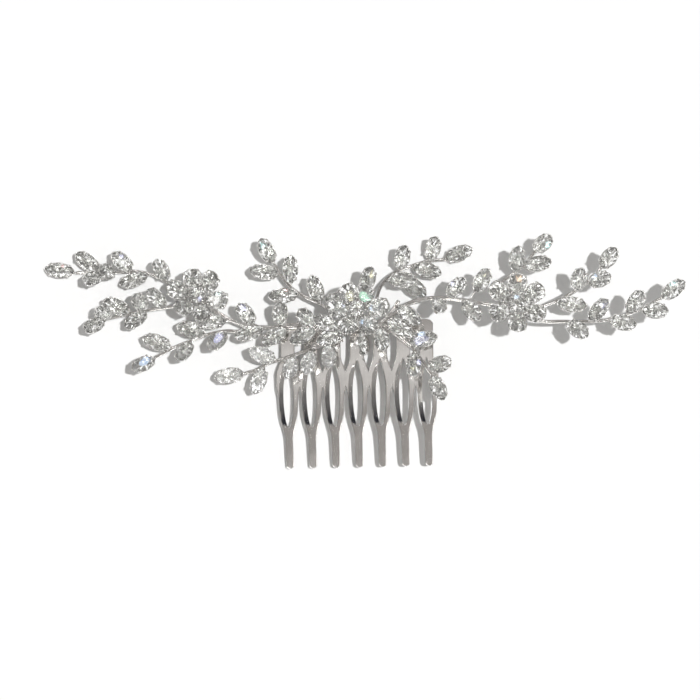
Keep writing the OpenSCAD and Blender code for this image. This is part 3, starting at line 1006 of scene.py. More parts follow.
@dataclass(frozen=True)
class Setting:
    """A claw-set stone in its cup. The cup's inner end is at the origin, along +X.

    Attributes:
        outline: which outline the cup has.
        length: length of the cup.
        width: width of the cup.
    """

    outline: Outline
    length: float
    width: float

    # Rings from the middle of the cup's underside over its rim to its floor.
    # Columns: size as a part of the outline, level
    RINGS = np.array([
        [0.30, -0.86], [0.56, -0.90], [0.64, -0.84], [0.71, -0.55], [0.86, 0.00],
        [0.97, 0.40], [1.00, 0.50], [0.985, 0.56], [0.945, 0.56], [0.925, 0.48],
        [0.82, 0.05], [0.62, -0.38], [0.50, -0.50], [0.20, -0.54],
    ])
    ROUND = 32
    INNER_FROM = 9
    # A claw from its foot on the wall to its tip over the stone.
    # Columns: size as a part of the outline, level, half width, half thickness
    CLAW = np.array([
        [0.90, -0.10, 0.30, 0.10], [0.99, 0.22, 0.40, 0.15], [1.025, 0.50, 0.38, 0.17],
        [1.01, 0.76, 0.33, 0.17], [0.95, 0.96, 0.29, 0.16], [0.87, 1.06, 0.25, 0.15],
        [0.79, 1.05, 0.21, 0.14], [0.725, 0.98, 0.16, 0.11], [0.70, 0.93, 0.07, 0.05],
    ])
    CLAW_SIDES = 8
    # Corners of a stone's table, and points of one stone
    FOLD = 12
    STONE_POINTS = 8 * FOLD
    # Rings of a stone: size as a part of the outline, level. The keel is the lowest
    TABLE = (0.43, 1.22)
    STAR = (0.66, 1.02)
    GIRDLE_TOP = (0.91, 0.50)
    GIRDLE_BOTTOM = (0.91, 0.42)
    PAVILION = (0.47, -0.02)
    KEEL = (0.20, -0.36)
    # Width of a leaf's keel, as a part of its full width
    LEAF_KEEL = 0.15
    LEAF_POINTING = 1.35
    LEAF_FULLNESS = 0.62
    PETAL_SWELL = 0.14
    CLAW_ANGLES = (45.0, 135.0, 225.0, 315.0)

    def edge(self, degrees: Array) -> Array:
        """Outline of the cup, centred on its middle.

        A leaf is x = |cos a|^1.35 and y = (1 - x^2)^0.62 with the signs of the
        cosine and the sine, a petal is an oval that is wider at its tip, and the
        centre is a circle. All are scaled to half the length and half the width.

        Args:
            degrees: angles a, of shape (k,).

        Returns:
            Points x, y of shape (k, 2).
        """
        a = np.radians(degrees)
        x, y = np.cos(a), np.sin(a)
        if self.outline is Outline.LEAF:
            x = np.sign(x) * np.abs(x) ** self.LEAF_POINTING
            y = np.sign(y) * np.clip(1 - x**2, 0, 1) ** self.LEAF_FULLNESS
        elif self.outline is Outline.PETAL:
            y = y * (1 + self.PETAL_SWELL * x)
        return np.stack([x * self.length / 2, y * self.width / 2], axis=-1)

    def ring(self, degrees: Array, size: float, level: float) -> Array:
        """One ring of points, at a size and a level."""
        flat = self.edge(degrees) * size + [self.length / 2, 0.0]
        return np.column_stack([flat, np.full(len(flat), level)])

    def cup(self) -> tuple[Array, list[Faces], list[Faces]]:
        """Open cup: its outline scaled and set at the level of each ring.

        Returns:
            Points of shape (k, 3), the faces of its outside and rim, and the faces
            of its inside.
        """
        a = 360 * np.arange(self.ROUND) / self.ROUND
        points = np.concatenate([self.ring(a, *row) for row in self.RINGS])
        quads, first, last = tube_faces(len(self.RINGS), self.ROUND)
        split = self.INNER_FROM * self.ROUND
        return points, [quads[:split], first], [quads[split:], last]

    def claws(self) -> tuple[Array, list[Faces]]:
        """Four claws: an oval section carried up the wall and over the stone.

        The path's points are the outline at a claw's angle, scaled by each row's
        size, and the section's side follows the outline.

        Returns:
            Points of shape (4, k, 3), and faces.
        """
        angles = np.array(self.CLAW_ANGLES)
        at = self.edge(angles)
        slope = unit(self.edge(angles + 1.0) - self.edge(angles - 1.0))
        size, level, width, height = self.CLAW.T
        centre = np.empty((len(angles), len(size), 3))
        centre[..., :2] = at[:, None] * size[None, :, None] + [self.length / 2, 0.0]
        centre[..., 2] = level
        side = np.zeros_like(centre)
        side[..., :2] = slope[:, None]
        tangent = unit(np.gradient(centre, axis=1))
        up = unit(np.cross(tangent, side))
        points = sweep(centre, side, up, width, height, self.CLAW_SIDES)
        return points, tube_faces(len(size), self.CLAW_SIDES)

    def stone(self) -> tuple[Array, list[Faces]]:
        """Brilliant-cut stone: a table, stars, kites, a girdle and a pavilion.

        Rings of m and 2 m points lie on the outline, each with its size and level.
        Table and keel points stand at 360 (k + 1/2) / m degrees, the stars and the
        pavilion's points at 360 k / m, and the girdle's at 180 k / m.

        Returns:
            Points of shape (8 m, 3), and faces.
        """
        m = self.FOLD
        star_angles = 360.0 / m * np.arange(m)
        table_angles = star_angles + 180.0 / m
        girdle_angles = 180.0 / m * np.arange(2 * m)
        keel = self.ring(table_angles, *self.KEEL)
        if self.outline is Outline.LEAF:
            keel[:, 1] *= self.LEAF_KEEL
        points = np.concatenate([
            self.ring(table_angles, *self.TABLE), self.ring(star_angles, *self.STAR),
            self.ring(girdle_angles, *self.GIRDLE_TOP),
            self.ring(girdle_angles, *self.GIRDLE_BOTTOM),
            self.ring(star_angles, *self.PAVILION), keel,
        ])
        k = np.arange(m)
        after = (k + 1) % m
        table, star, top, bottom, pavilion, low = m * np.array([0, 1, 2, 4, 6, 7])
        g0, g1, g2 = 2 * k, 2 * k + 1, (2 * k + 2) % (2 * m)

        def half(flat: int, corner: int, girdle: int) -> list[Faces]:
            """Stars, kites and girdle facets on one side of the girdle.

            Args:
                flat: number of the first point of the table or the keel.
                corner: number of the first star or pavilion point.
                girdle: number of the girdle's first point.

            Returns:
                The facets, three corners each.
            """
            return [
                np.stack([flat + (k - 1) % m, flat + k, corner + k], axis=1),
                np.stack([flat + k, girdle + g1, corner + k], axis=1),
                np.stack([flat + k, corner + after, girdle + g1], axis=1),
                np.stack([corner + k, girdle + g1, girdle + g0], axis=1),
                np.stack([corner + after, girdle + g2, girdle + g1], axis=1),
            ]

        g = np.arange(2 * m)
        h = np.roll(g, -1)
        belt = np.stack([top + g, top + h, bottom + h, bottom + g], axis=1)
        faces = half(table, star, top) + half(low, pavilion, bottom) + [belt]
        faces += [table + k[None], low + k[None]]
        return points, faces


LEAF = Setting(Outline.LEAF, 7.6, 4.1)
PETAL = Setting(Outline.PETAL, 6.4, 4.9)
CENTRE = Setting(Outline.CENTRE, 4.3, 4.3)


def add_settings(shell: Shell, setting: Setting, places: Places) -> None:
    """Adds a cup and its claws at every place.

    Args:
        shell: the piece's surfaces; its second material is the cups' metal, and its
            third their inside.
        setting: the setting.
        places: the cups' places.
    """
    points, outside, inside = setting.cup()
    placed = places.put(points)
    shell.add(placed, outside, 1)
    shell.add(placed, inside, 2)
    claws, faces = setting.claws()
    for claw in claws:
        shell.add(places.put(claw), faces, 1)


def add_stones(shell: Shell, setting: Setting, places: Places) -> None:
    """Adds a stone at every place."""
    points, faces = setting.stone()
    shell.add(places.put(points), faces)


# Share of the upward facets that get a painted white glint
WHITE_SHARE = 0.095
# The faintest painted white glint, as a part of the strongest
FAINTEST = 0.4
# Least upward part of a normal that counts as upward
UPWARD = 0.3
# Greatest size of a facet that gets a painted glint, in square millimetres
FLASH_AREA = 1.2
# Distance of a painted coloured glint from the middle of its stone
FLASH_REACH = 1.2
# How white the core of a painted coloured glint is
CORE = 0.4
# Faint painted glow that every facet emits, standing in for light the crystal scatters
PAINTED_HAZE = 0.035
# Below one, more facets are clear than smoky
TONE_POWER = 0.7


def stones_piece(
    name: str, shell: Shell, material: Material, painted_glints: tuple[PaintedGlint, ...],
    seed: int, painted_glint_gain: float,
) -> bpy.types.Object:
    """Makes a piece of loose stones and gives each facet its tone and its painted
    glint.

    A painted coloured glint falls off with the distance d of a facet from the glint's
    place as s = exp(-(d / R)^2), and its core is whiter by s^4. Painted white glints
    fall on facets at random, and every facet gets a faint painted glow.

    Args:
        name: the piece's name.
        shell: the gathered stones.
        material: the crystal.
        painted_glints: the stones that get a painted coloured glint, and their colours.
        seed: seed of the facets' tones and painted white glints.
        painted_glint_gain: how many more of the facets get painted white glints, and
            how much brighter their painted glow is, than on most stones.

    Returns:
        The piece.
    """
    obj = shell.piece(name, [material], smooth=False)
    rng = np.random.default_rng(seed)
    count = len(obj.data.polygons)
    tone = rng.random(count) ** TONE_POWER
    mark_faces(obj, "facet", np.repeat(tone[:, None], 3, axis=1))
    upward = face_values(obj, "normal", 3)[:, Z] > UPWARD
    middle = face_values(obj, "center", 3) / MM
    small = face_values(obj, "area", 1)[:, 0] < FLASH_AREA * MM**2
    white = upward & small & (rng.random(count) < WHITE_SHARE * painted_glint_gain)
    strength = FAINTEST + (1 - FAINTEST) * rng.random(count)
    # Painted light: a faint glow on every facet, and painted white glints on a few.
    light = PAINTED_HAZE * painted_glint_gain**2 + np.where(white, strength, 0.0)
    colours = np.repeat(light[:, None], 3, axis=1)
    stones = stone_points(shell).mean(axis=1)
    owner = np.argmin(np.linalg.norm(middle[:, None] - stones[None], axis=2), axis=1)
    # Painted coloured glints, fading out round a place on one side of a stone.
    for painted_glint in painted_glints:
        own = np.flatnonzero((owner == painted_glint.stone) & upward)
        place = stones[painted_glint.stone] + FLASH_REACH * direction(painted_glint.heading, 0.0)
        apart = np.linalg.norm((middle[own] - place)[:, [X, Y]], axis=1)
        apart -= apart.min()
        fall = np.exp(-((apart / painted_glint.radius) ** 2))[:, None]
        colours[own] += fall * np.array(painted_glint.hue.value) + CORE * fall**4
    mark_faces(obj, "painted_glint", colours)
    return obj


def stone_points(shell: Shell) -> Array:
    """The points of each stone of a shell, of shape (stones, points, 3)."""
    return np.concatenate(shell.points).reshape(-1, Setting.STONE_POINTS, 3)


# ---- Sub-assemblies ----


@dataclass(frozen=True)
class Edge:
    """An edge that is rounded by an arc down to an upright wall.

    Attributes:
        width: how far the arc reaches into the face.
        tilt: how steep it is at the wall, in degrees.
    """

    width: float
    tilt: float

    def drop(self, distance: Array) -> Array:
        """Depth under the face: R - sqrt(R^2 - (w - d)^2), with R = w / sin(tilt).

        Args:
            distance: distances d from the edge.

        Returns:
            Depths, of the same shape.
        """
        radius = self.width / math.sin(math.radians(self.tilt))
        within = np.clip(self.width - distance, 0, None)
        return radius - np.sqrt(radius**2 - within**2)


@dataclass
class CombPlate:
    """Bowed comb plate: seven forked teeth, seven bars and a spine.

    Attributes: sizes of the outline, measured from the tip of the middle tooth, and
    how its edges are rounded. The wall is how far the grid's walls lean inwards, the
    neck is where a bar has narrowed over the shoulders, and the crown is the part
    under the spine's upper edge with closer rows.
    """

    teeth: int = 7
    pitch: float = 5.76
    tooth_length: float = 33.2
    prong_width: float = 1.9
    fork: float = 10.3
    opening_top: float = 26.7
    opening_width: float = 2.5
    flare: float = 1.22
    flare_from: float = 6.9
    flare_to: float = 14.1
    spread: float = 0.045
    spread_from: float = 12.5
    shoulder_from: float = 17.6
    shoulder_to: float = 20.6
    shoulder: float = 23.8
    shoulder_overlap: float = 0.1
    neck_from: float = 2.6
    neck_to: float = 3.8
    neck_excess: float = 0.25
    bar_gap: float = 2.3
    spine: float = 3.3
    thickness: float = 1.3
    bow_radius: float = 135.0
    bow_level: float = 1.1
    lean: float = 1.6
    slope: float = 4.8
    turn: float = 1.1
    place: Point = (-1.42, -29.0, 1.39)
    outer_edge: Edge = Edge(0.16, 55.0)
    opening_edge: Edge = Edge(0.2, 58.0)
    bevel_width: float = 1.0
    bevel_tilt: float = 29.0
    bevel_fade: float = 2.0
    bevel_before: float = 0.5
    bevel_columns: int = 5
    under_edge: Edge = Edge(0.18, 58.0)
    wall: float = 0.012
    window_corner: float = 0.8
    columns: int = 13
    crown: float = 0.6
    end_reach: float = 0.2
    end_excess: float = 0.1
    end_above: float = 3.0
    outline_step: float = 0.15
    sharp_angle: float = 30.0

    # Distances of close rows from a turn of the outline
    NEAR = np.array([0.0, 0.03, 0.09, 0.18, 0.3, 0.45, 0.65, 0.85])
    # How far the close rows at the shoulder are moved down
    SHOULDER_ROWS = 0.4
    # Rows of the round tip, and of the windows' corners and the crown
    TIP_ROWS = 10
    CORNER_ROWS = 9
    # Points along the spine's upper edge
    TOP_POINTS = 120
    # How far from a tooth's middle edges count as near, in pitches
    NEIGHBOURS = 1.1
    # Widest wall, least and greatest bevel of a grid, as parts of its width
    WALL_SHARE = 0.2
    CREASE_LEAST = 0.3
    CREASE_MOST = 0.9
    # Part of the wall over which the sheets part
    PARTING = 0.6
    # Widths closer than this are the same, and an edge piece is at least so long
    SAME = 1e-6

    @property
    def top(self) -> float:
        """Height of the spine's upper edge."""
        return self.tooth_length + self.spine

    @property
    def centres(self) -> Array:
        """Middles of the teeth along the spine."""
        return (np.arange(self.teeth) - (self.teeth - 1) / 2) * self.pitch

    @property
    def bar(self) -> float:
        """Half the width of a bar."""
        return (self.pitch - self.bar_gap) / 2

    @property
    def corner(self) -> float:
        """Height at which the windows' upper corners start."""
        return self.tooth_length - self.window_corner

    def is_end(self, tooth: int, sign: int) -> bool:
        """Whether a side of a tooth is an end of the comb."""
        return (tooth, sign) in ((0, -1), (self.teeth - 1, 1))

    def rise(self, y: Array | float, low: float, high: float) -> Array:
        """Smooth rise from 0 to 1 between two heights: t^2 (3 - 2 t)."""
        t = np.clip((y - low) / (high - low), 0, 1)
        return t * t * (3 - 2 * t)

    def flared(self, y: Array | float) -> Array:
        """Half width of a tooth over its prong, as it flares to its legs.

        It is half the prong's width, a smooth flare, and a straight spread.

        Args:
            y: heights over the tip.

        Returns:
            Half widths, of the same shape.
        """
        flare = self.flare * self.rise(y, self.flare_from, self.flare_to)
        spread = self.spread * np.clip(y - self.spread_from, 0, None)
        return self.prong_width / 2 + flare + spread

    def half_width(self, y: Array) -> Array:
        """Half the width of a tooth with its bar at height y.

        The tip is half a circle, the prong is straight, it flares smoothly to its
        legs and on to the shoulders, and the bar narrows over the shoulders and
        widens into the spine by a quarter ellipse.

        Args:
            y: heights over the tip.

        Returns:
            Half widths, at most half the pitch.
        """
        r = self.prong_width / 2
        half = (self.pitch + self.shoulder_overlap) / 2
        reach = half - self.flared(self.shoulder_to)
        shoulders = reach * self.rise(y, self.shoulder_from, self.shoulder_to)
        legs = self.flared(y) + shoulders
        tip = np.sqrt(np.clip(r**2 - (y - r) ** 2, 0, None))
        knots = self.shoulder + np.array([0.0, self.neck_from, self.neck_to])
        upper = np.interp(y, knots, [half, self.bar + self.neck_excess, self.bar])
        u = np.clip((y - self.corner) / self.window_corner, 0, 1)
        upper += (self.pitch / 2 - self.bar) * (1 - np.sqrt(1 - u**2))
        width = np.where(y < self.shoulder, np.where(y < r, tip, legs), upper)
        return np.minimum(width, self.pitch / 2)

    def end_half_width(self, y: Array) -> Array:
        """Half width on the outer side of the first and the last tooth.

        It is the same as between teeth up to the bar, and then follows the round
        end of the spine.

        Args:
            y: heights over the tip.

        Returns:
            Half widths, of the same shape.
        """
        r = self.spine / 2
        middle = self.tooth_length + r
        cap = self.end_reach + np.sqrt(np.clip(r**2 - (y - middle) ** 2, 0, None))
        above = y > self.shoulder + self.end_above
        plain = np.minimum(self.half_width(y), np.where(above, self.bar, np.inf))
        end = np.minimum(cap, self.bar + self.end_excess)
        return np.where(y > middle, end, plain)

    def half_opening(self, y: Array) -> Array:
        """Half the width of a tooth's opening: an ellipse below and an arc above.

        With d the height over the opening's middle, h half its height and w half its
        width, it is w sqrt(1 - (d / h)^2) below and sqrt(R^2 - d^2) - R + w above,
        where R = (h^2 + w^2) / (2 w).

        Args:
            y: heights over the tip.

        Returns:
            Half widths, of the same shape, and 0 beyond the opening.
        """
        half = (self.opening_top - self.fork) / 2
        away = y - self.fork - half
        low = self.opening_width / 2 * np.sqrt(np.clip(1 - (away / half) ** 2, 0, None))
        radius = (half**2 + self.opening_width**2 / 4) / self.opening_width
        inside = np.clip(radius**2 - away**2, 0, None)
        high = np.clip(np.sqrt(inside) - radius + self.opening_width / 2, 0, None)
        return np.where(away < 0, low, high)

    def bevel(self, y: Array) -> Array:
        """Width of the flat bevel on the left leg of a tooth.

        It is W s (2 - s), with s rising from 0 a little under the opening to 1 where
        the bevel is full, and back to 0 at the opening's upper end.

        Args:
            y: heights over the tip.

        Returns:
            Widths of the same shape.
        """
        start = (y - self.fork + self.bevel_before) / self.bevel_fade
        end = (self.opening_top - y) / (2 * self.bevel_fade)
        s = np.clip(np.minimum(start, end), 0, 1)
        return self.bevel_width * s * (2 - s)

    def rows(self) -> Array:
        """Heights of the grid's rows, closer together where the outline turns.

        Returns:
            Rising heights, of shape (rows,).
        """
        r = self.prong_width / 2
        near, gap = self.NEAR, self.NEAR[-1]
        crown = self.top - self.crown
        quarter = np.linspace(0, np.pi / 2, self.CORNER_ROWS)
        # Even rows: from, to, and how many
        even = [
            (r, self.fork - gap, 26),
            (self.shoulder_from, self.shoulder_to, 16),
            (self.fork + gap, self.opening_top - gap, 44),
            (self.opening_top + gap, self.corner, 8),
            (self.tooth_length, crown, 8),
        ]
        rows = [np.linspace(*step) for step in even] + [
            r * (1 - np.cos(np.linspace(0, np.pi / 2, self.TIP_ROWS))),
            self.fork + near, self.fork - near,
            self.opening_top - near, self.opening_top + near,
            self.shoulder + near - self.SHOULDER_ROWS, self.shoulder_to - near,
            self.tooth_length - self.window_corner * (1 - np.sin(quarter)),
            self.top - self.crown * (1 - np.cos(quarter)),
        ]
        found = np.unique(np.round(np.concatenate(rows), 4))
        return found[(found >= 0) & (found <= self.top)]

    def distance(self, points: Array, edges: Array) -> Array:
        """Distance from points to the nearest of straight edge pieces.

        d = |P - A - t (B - A)|, with t the nearest place on A B between 0 and 1.

        Args:
            points: of shape (n, 2).
            edges: of shape (m, 2, 2), each with its ends A and B.

        Returns:
            Distances of shape (n,).
        """
        a, step = edges[:, 0], edges[:, 1] - edges[:, 0]
        size = np.maximum((step**2).sum(axis=1), self.SAME**2)
        gap = points[:, None] - a[None]
        t = np.clip((gap * step[None]).sum(axis=2) / size, 0, 1)
        return np.linalg.norm(gap - t[..., None] * step[None], axis=2).min(axis=1)

    def edge_pieces(self, x: Array, y: Array, keep: Array) -> Array:
        """Straight pieces of an edge x(y), where at least one of their ends is kept.

        Args:
            x: places across, of shape (n,).
            y: heights, of shape (n,).
            keep: which points are kept, of shape (n,).

        Returns:
            Pieces of shape (m, 2, 2).
        """
        points = np.stack([x, y], axis=1)
        pieces = np.stack([points[:-1], points[1:]], axis=1)
        return pieces[keep[:-1] | keep[1:]]

    def outline(self) -> tuple[Array, Array]:
        """Edges of the plate: the outer ones, and those of the openings.

        Returns:
            Two arrays of shape (m, 2, 2).
        """
        even = np.arange(0, self.top, self.outline_step)
        y = np.unique(np.concatenate([self.rows(), even]))
        inner, end = self.half_width(y), self.end_half_width(y)
        lens = self.half_opening(y)
        free = inner < self.pitch / 2 - self.SAME
        always = np.ones_like(free)
        outer, openings = [], []
        for i, c in enumerate(self.centres):
            for sign in (-1, 1):
                width, keep = (end, always) if self.is_end(i, sign) else (inner, free)
                outer.append(self.edge_pieces(c + sign * width, y, keep))
                openings.append(self.edge_pieces(c + sign * lens, y, lens > 0))
        ends = self.centres[[0, -1]] + [-self.end_reach, self.end_reach]
        x = np.linspace(*ends, self.TOP_POINTS)
        top = np.full_like(x, self.top)
        outer.append(self.edge_pieces(x, top, np.ones_like(x, bool)))
        return np.concatenate(outer), np.concatenate(openings)

    def placed(self, points: Array) -> Array:
        """Points of the plate's own frame, put in the part's frame."""
        own = turning(Z, self.turn) @ turning(Y, -self.slope) @ turning(X, self.lean)
        return points @ own[0].T + np.array(self.place) + REST_SHIFT

    def across(self, span: Array, bevel: Array) -> tuple[Array, Array]:
        """Places of the grid's columns across half a tooth.

        They run from the wall of the opening to a crease in even steps, on to the
        wall of the side in steps that shorten like a sine, and end on that side.

        Args:
            span: width of the half tooth at each row, of shape (rows, 1).
            bevel: width of the bevel at each row, of shape (rows, 1).

        Returns:
            Places of shape (rows, columns), and the crease's, of shape (rows, 1).
        """
        wall = np.minimum(self.wall, self.WALL_SHARE * span)
        bevelled = np.maximum(bevel, self.CREASE_LEAST * span)
        crease = wall + bevelled.clip(max=self.CREASE_MOST * span)
        steps = np.arange(self.bevel_columns) / self.bevel_columns
        u = np.sin(np.pi / 2 * np.arange(self.columns) / (self.columns - 1))
        columns = [0 * span, wall + (crease - wall) * steps,
                   crease + (span - wall - crease) * u, span]
        return np.concatenate(columns, axis=1), crease

    def build(self, finishes: Finishes) -> bpy.types.Object:
        """Makes the plate from two sheets that meet at its edges.

        Each half tooth is a grid: rows of height y, and columns from its opening or
        its middle to its side, with one more column close to each end for the walls.
        A point stands t / 2 less the drop of its nearest edge over the middle sheet,
        and at an edge itself on that sheet, which is bowed on a circle.

        Args:
            finishes: the materials.

        Returns:
            The piece.
        """
        y = self.rows()
        outer, openings = self.outline()
        lens = self.half_opening(y)[:, None]
        shell = Shell()
        half = self.thickness / 2
        away = y - self.tooth_length / 2
        bow = np.sqrt((self.bow_radius + half) ** 2 - away**2)
        middle = self.bow_level - self.bow_radius + bow
        columns = self.columns + self.bevel_columns + 2
        faces = [grid_faces(len(y), columns, False)]
        bevel_slope = math.tan(math.radians(self.bevel_tilt))
        reach = self.NEIGHBOURS * self.pitch
        for i, c in enumerate(self.centres):
            near_outer = outer[np.abs(outer[:, 0, 0] - c) < reach]
            near_lens = openings[np.abs(openings[:, 0, 0] - c) < reach]
            for sign in (-1, 1):
                last = self.is_end(i, sign)
                side = self.end_half_width(y) if last else self.half_width(y)
                span = np.maximum(side[:, None], lens) - lens
                bevel = self.bevel(y)[:, None] if sign < 0 else np.zeros_like(span)
                across, crease = self.across(span, bevel)
                x = c + sign * (lens + across)
                flat = np.stack([x, np.broadcast_to(y[:, None], x.shape)], axis=-1)
                flat = flat.reshape(-1, 2)
                d_outer = self.distance(flat, near_outer).reshape(x.shape)
                d_lens = self.distance(flat, near_lens).reshape(x.shape)
                walled = last | (side < self.pitch / 2 - self.SAME)
                d_outer[:, -1] = np.where(walled, 0, d_outer[:, -1])
                d_lens[:, 0] = np.where(lens[:, 0] > 0, 0, d_lens[:, 0])
                d_outer[[0, -1]] = 0
                near = np.minimum(d_outer, d_lens)
                off_edge = np.clip(near / (self.PARTING * self.wall), 0, 1)
                over = half - np.maximum(
                    self.outer_edge.drop(d_outer), self.opening_edge.drop(d_lens))
                cut = half - bevel_slope * np.clip(crease - across, 0, None)
                bevelled = bevel > self.CREASE_LEAST * span
                over = np.where(bevelled, np.minimum(over, cut), over)
                under = half - self.under_edge.drop(near)
                for height in (over * off_edge, -under * off_edge):
                    z = middle[:, None] + height
                    grid = np.concatenate([flat, z.reshape(-1, 1)], axis=1)
                    shell.add(self.placed(grid), faces)
        obj = shell.piece("comb_plate", [finishes.comb], smooth=True)
        obj.data.set_sharp_from_angle(angle=math.radians(self.sharp_angle))
        settle(obj, Slot.COMB, "comb")
        return obj


@dataclass
class BindingTurns:
    """Turns of fine wire that tie the branch to the comb's spine.

    Attributes:
        comb: the plate that they go round.
        wire: radius of the wire.
        turns: turns side by side in one tie.
        gap: distance between the middles of two turns, in radii of the wire.
        rise: clear height of a tie over the spine.
        sag: clear depth of a tie under the spine.
        places: places of the ties along the spine, in pitches from its middle.
        slack: gap beside the spine.
        standoff: distance of the wire's middle from what it goes round, in radii.
        rows: points along a turn.
        sides: points round the wire.
    """

    comb: CombPlate
    wire: float = 0.16
    turns: int = 2
    gap: float = 2.1
    rise: float = 1.85
    sag: float = 0.6
    places: tuple[float, ...] = (-2.5, -1.5, -0.5, 0.5)
    slack: float = 0.2
    standoff: float = 1.4
    rows: int = 48
    sides: int = 10

    def build(self, finishes: Finishes) -> bpy.types.Object:
        """Makes the ties: a round wire carried round a rounded rectangle.

        The path is |y / b|^4 + |z / h|^4 = 1 about the middle of the tie, and a turn
        ends where it starts.

        Args:
            finishes: the materials.

        Returns:
            The piece.
        """
        shell = Shell()
        a = 2 * np.pi * np.arange(self.rows) / self.rows
        off = self.standoff * self.wire
        half_y = self.comb.spine / 2 + self.slack + off
        half_z = (self.comb.thickness + self.rise + self.sag) / 2 + off
        mid_y = self.comb.tooth_length + self.comb.spine / 2
        mid_z = (self.comb.thickness + self.rise - self.sag) / 2
        y = mid_y + half_y * np.sign(np.cos(a)) * np.sqrt(np.abs(np.cos(a)))
        z = mid_z + half_z * np.sign(np.sin(a)) * np.sqrt(np.abs(np.sin(a)))
        loop = np.stack([np.zeros_like(a), y, z], axis=1)
        side = np.tile([1.0, 0.0, 0.0], (self.rows, 1))
        tangent = unit(np.roll(loop, -1, axis=0) - np.roll(loop, 1, axis=0))
        up = np.cross(tangent, side)
        size = np.full(self.rows, self.wire)
        ring = sweep(loop, side, up, size, size, self.sides)[0]
        quads = grid_faces(self.rows + 1, self.sides, True) % len(ring)
        for place in self.places:
            for number in range(self.turns):
                shift = (number - (self.turns - 1) / 2) * self.gap * self.wire
                x = place * self.comb.pitch + shift
                shell.add(self.comb.placed(ring + [x, 0.0, 0.0]), [quads])
        obj = shell.piece("binding_turns", [finishes.wire], smooth=True)
        settle(obj, Slot.WIRE, "binding_wire")
        return obj


@dataclass(frozen=True)
class Stem:
    """A stem of loosely bundled wires with its cups.

    Attributes:
        path: the stem's points, from base to tip.
        cups: the cups beside it.
        radius: radius of the bundle.
        strands: wires in the bundle.
        lay: distance over which the wires rock to and fro once.
        twig_radius: radius of the wire that carries a cup.
    """

    path: tuple[Point, ...]
    cups: tuple[CupRow, ...]
    radius: float = 0.48
    strands: int = 2
    lay: float = 16.0
    twig_radius: float = 0.27

    SPACING = 0.3
    SIDES = 8
    # Radius of one wire, as a part of the bundle's
    STRAND_SHARE = 0.56
    # How far the wires rock, in radians
    ROCK = 0.6
    # How far a twig reaches into its cup, and how far it ends under its middle
    TWIG_REACH = 0.85
    TWIG_DROP = 0.1
    TWIG_POINTS = 7
    # How much thicker a twig is at its ends
    TWIG_SOLDER = 0.35

    def places(self) -> Places:
        """Places of the cups, as the part has them.

        Returns:
            The places.
        """
        distance, turn, pitch, roll, twig, lift = np.array(self.cups).T
        points, heading = along(np.array(self.path), distance)
        heading = heading + turn
        at = points + twig[:, None] * direction(heading, pitch)
        at[:, Z] += lift
        turns = turning(Z, heading) @ turning(Y, -pitch) @ turning(X, roll)
        return Places(turns, at + REST_SHIFT)

    def add_wires(self, shell: Shell) -> None:
        """Adds the bundle: wires that lie side by side and rock about its curve.

        A wire's middle is C + o (cos(w) S + sin(w) U), with o its offset from the
        stem's curve C and w an angle that swings to and fro along the curve.

        Args:
            shell: the piece's surfaces.
        """
        curve = smooth_path(np.array(self.path), self.SPACING) + REST_SHIFT
        side, up = frames(curve)
        length = self.SPACING * np.arange(len(curve))
        wire = self.radius * self.STRAND_SHARE
        offset = self.radius - wire
        size = rounded_ends(len(curve), wire, self.SPACING)
        for strand in range(self.strands):
            rock = self.ROCK * np.sin(2 * np.pi * length / self.lay)
            w = (rock + 2 * np.pi * strand / self.strands)[:, None]
            middle = curve + offset * (np.cos(w) * side + np.sin(w) * up)
            shell.add(sweep(middle, side, up, size, size, self.SIDES),
                      tube_faces(len(curve), self.SIDES))

    def add_twigs(self, shell: Shell) -> None:
        """Adds the twigs: a wire from the stem to each cup's end wall.

        A twig is straight, C(u) = S + u (E - S), and its radius grows a little at
        both ends, where it is soldered: r (1 + g |2 u - 1|^3).

        Args:
            shell: the piece's surfaces.
        """
        distance, turn, pitch, _, twig, lift = np.array(self.cups).T
        start, heading = along(np.array(self.path), distance)
        way = direction(heading + turn, pitch)
        end = start + (twig[:, None] + self.TWIG_REACH) * way
        end[:, Z] = end[:, Z] + lift - self.TWIG_DROP
        u = np.linspace(0, 1, self.TWIG_POINTS)
        curve = start[:, None] + u[None, :, None] * (end - start)[:, None] + REST_SHIFT
        side, up = frames(curve)
        size = self.twig_radius * (1 + self.TWIG_SOLDER * np.abs(2 * u - 1) ** 3)
        shell.add(sweep(curve, side, up, size, size, self.SIDES),
                  tube_faces(len(u), self.SIDES))

    def add_metal(self, shell: Shell) -> None:
        """Adds the stem, its twigs, cups and claws.

        Args:
            shell: the piece's surfaces.
        """
        self.add_wires(shell)
        self.add_twigs(shell)
        add_settings(shell, LEAF, self.places())


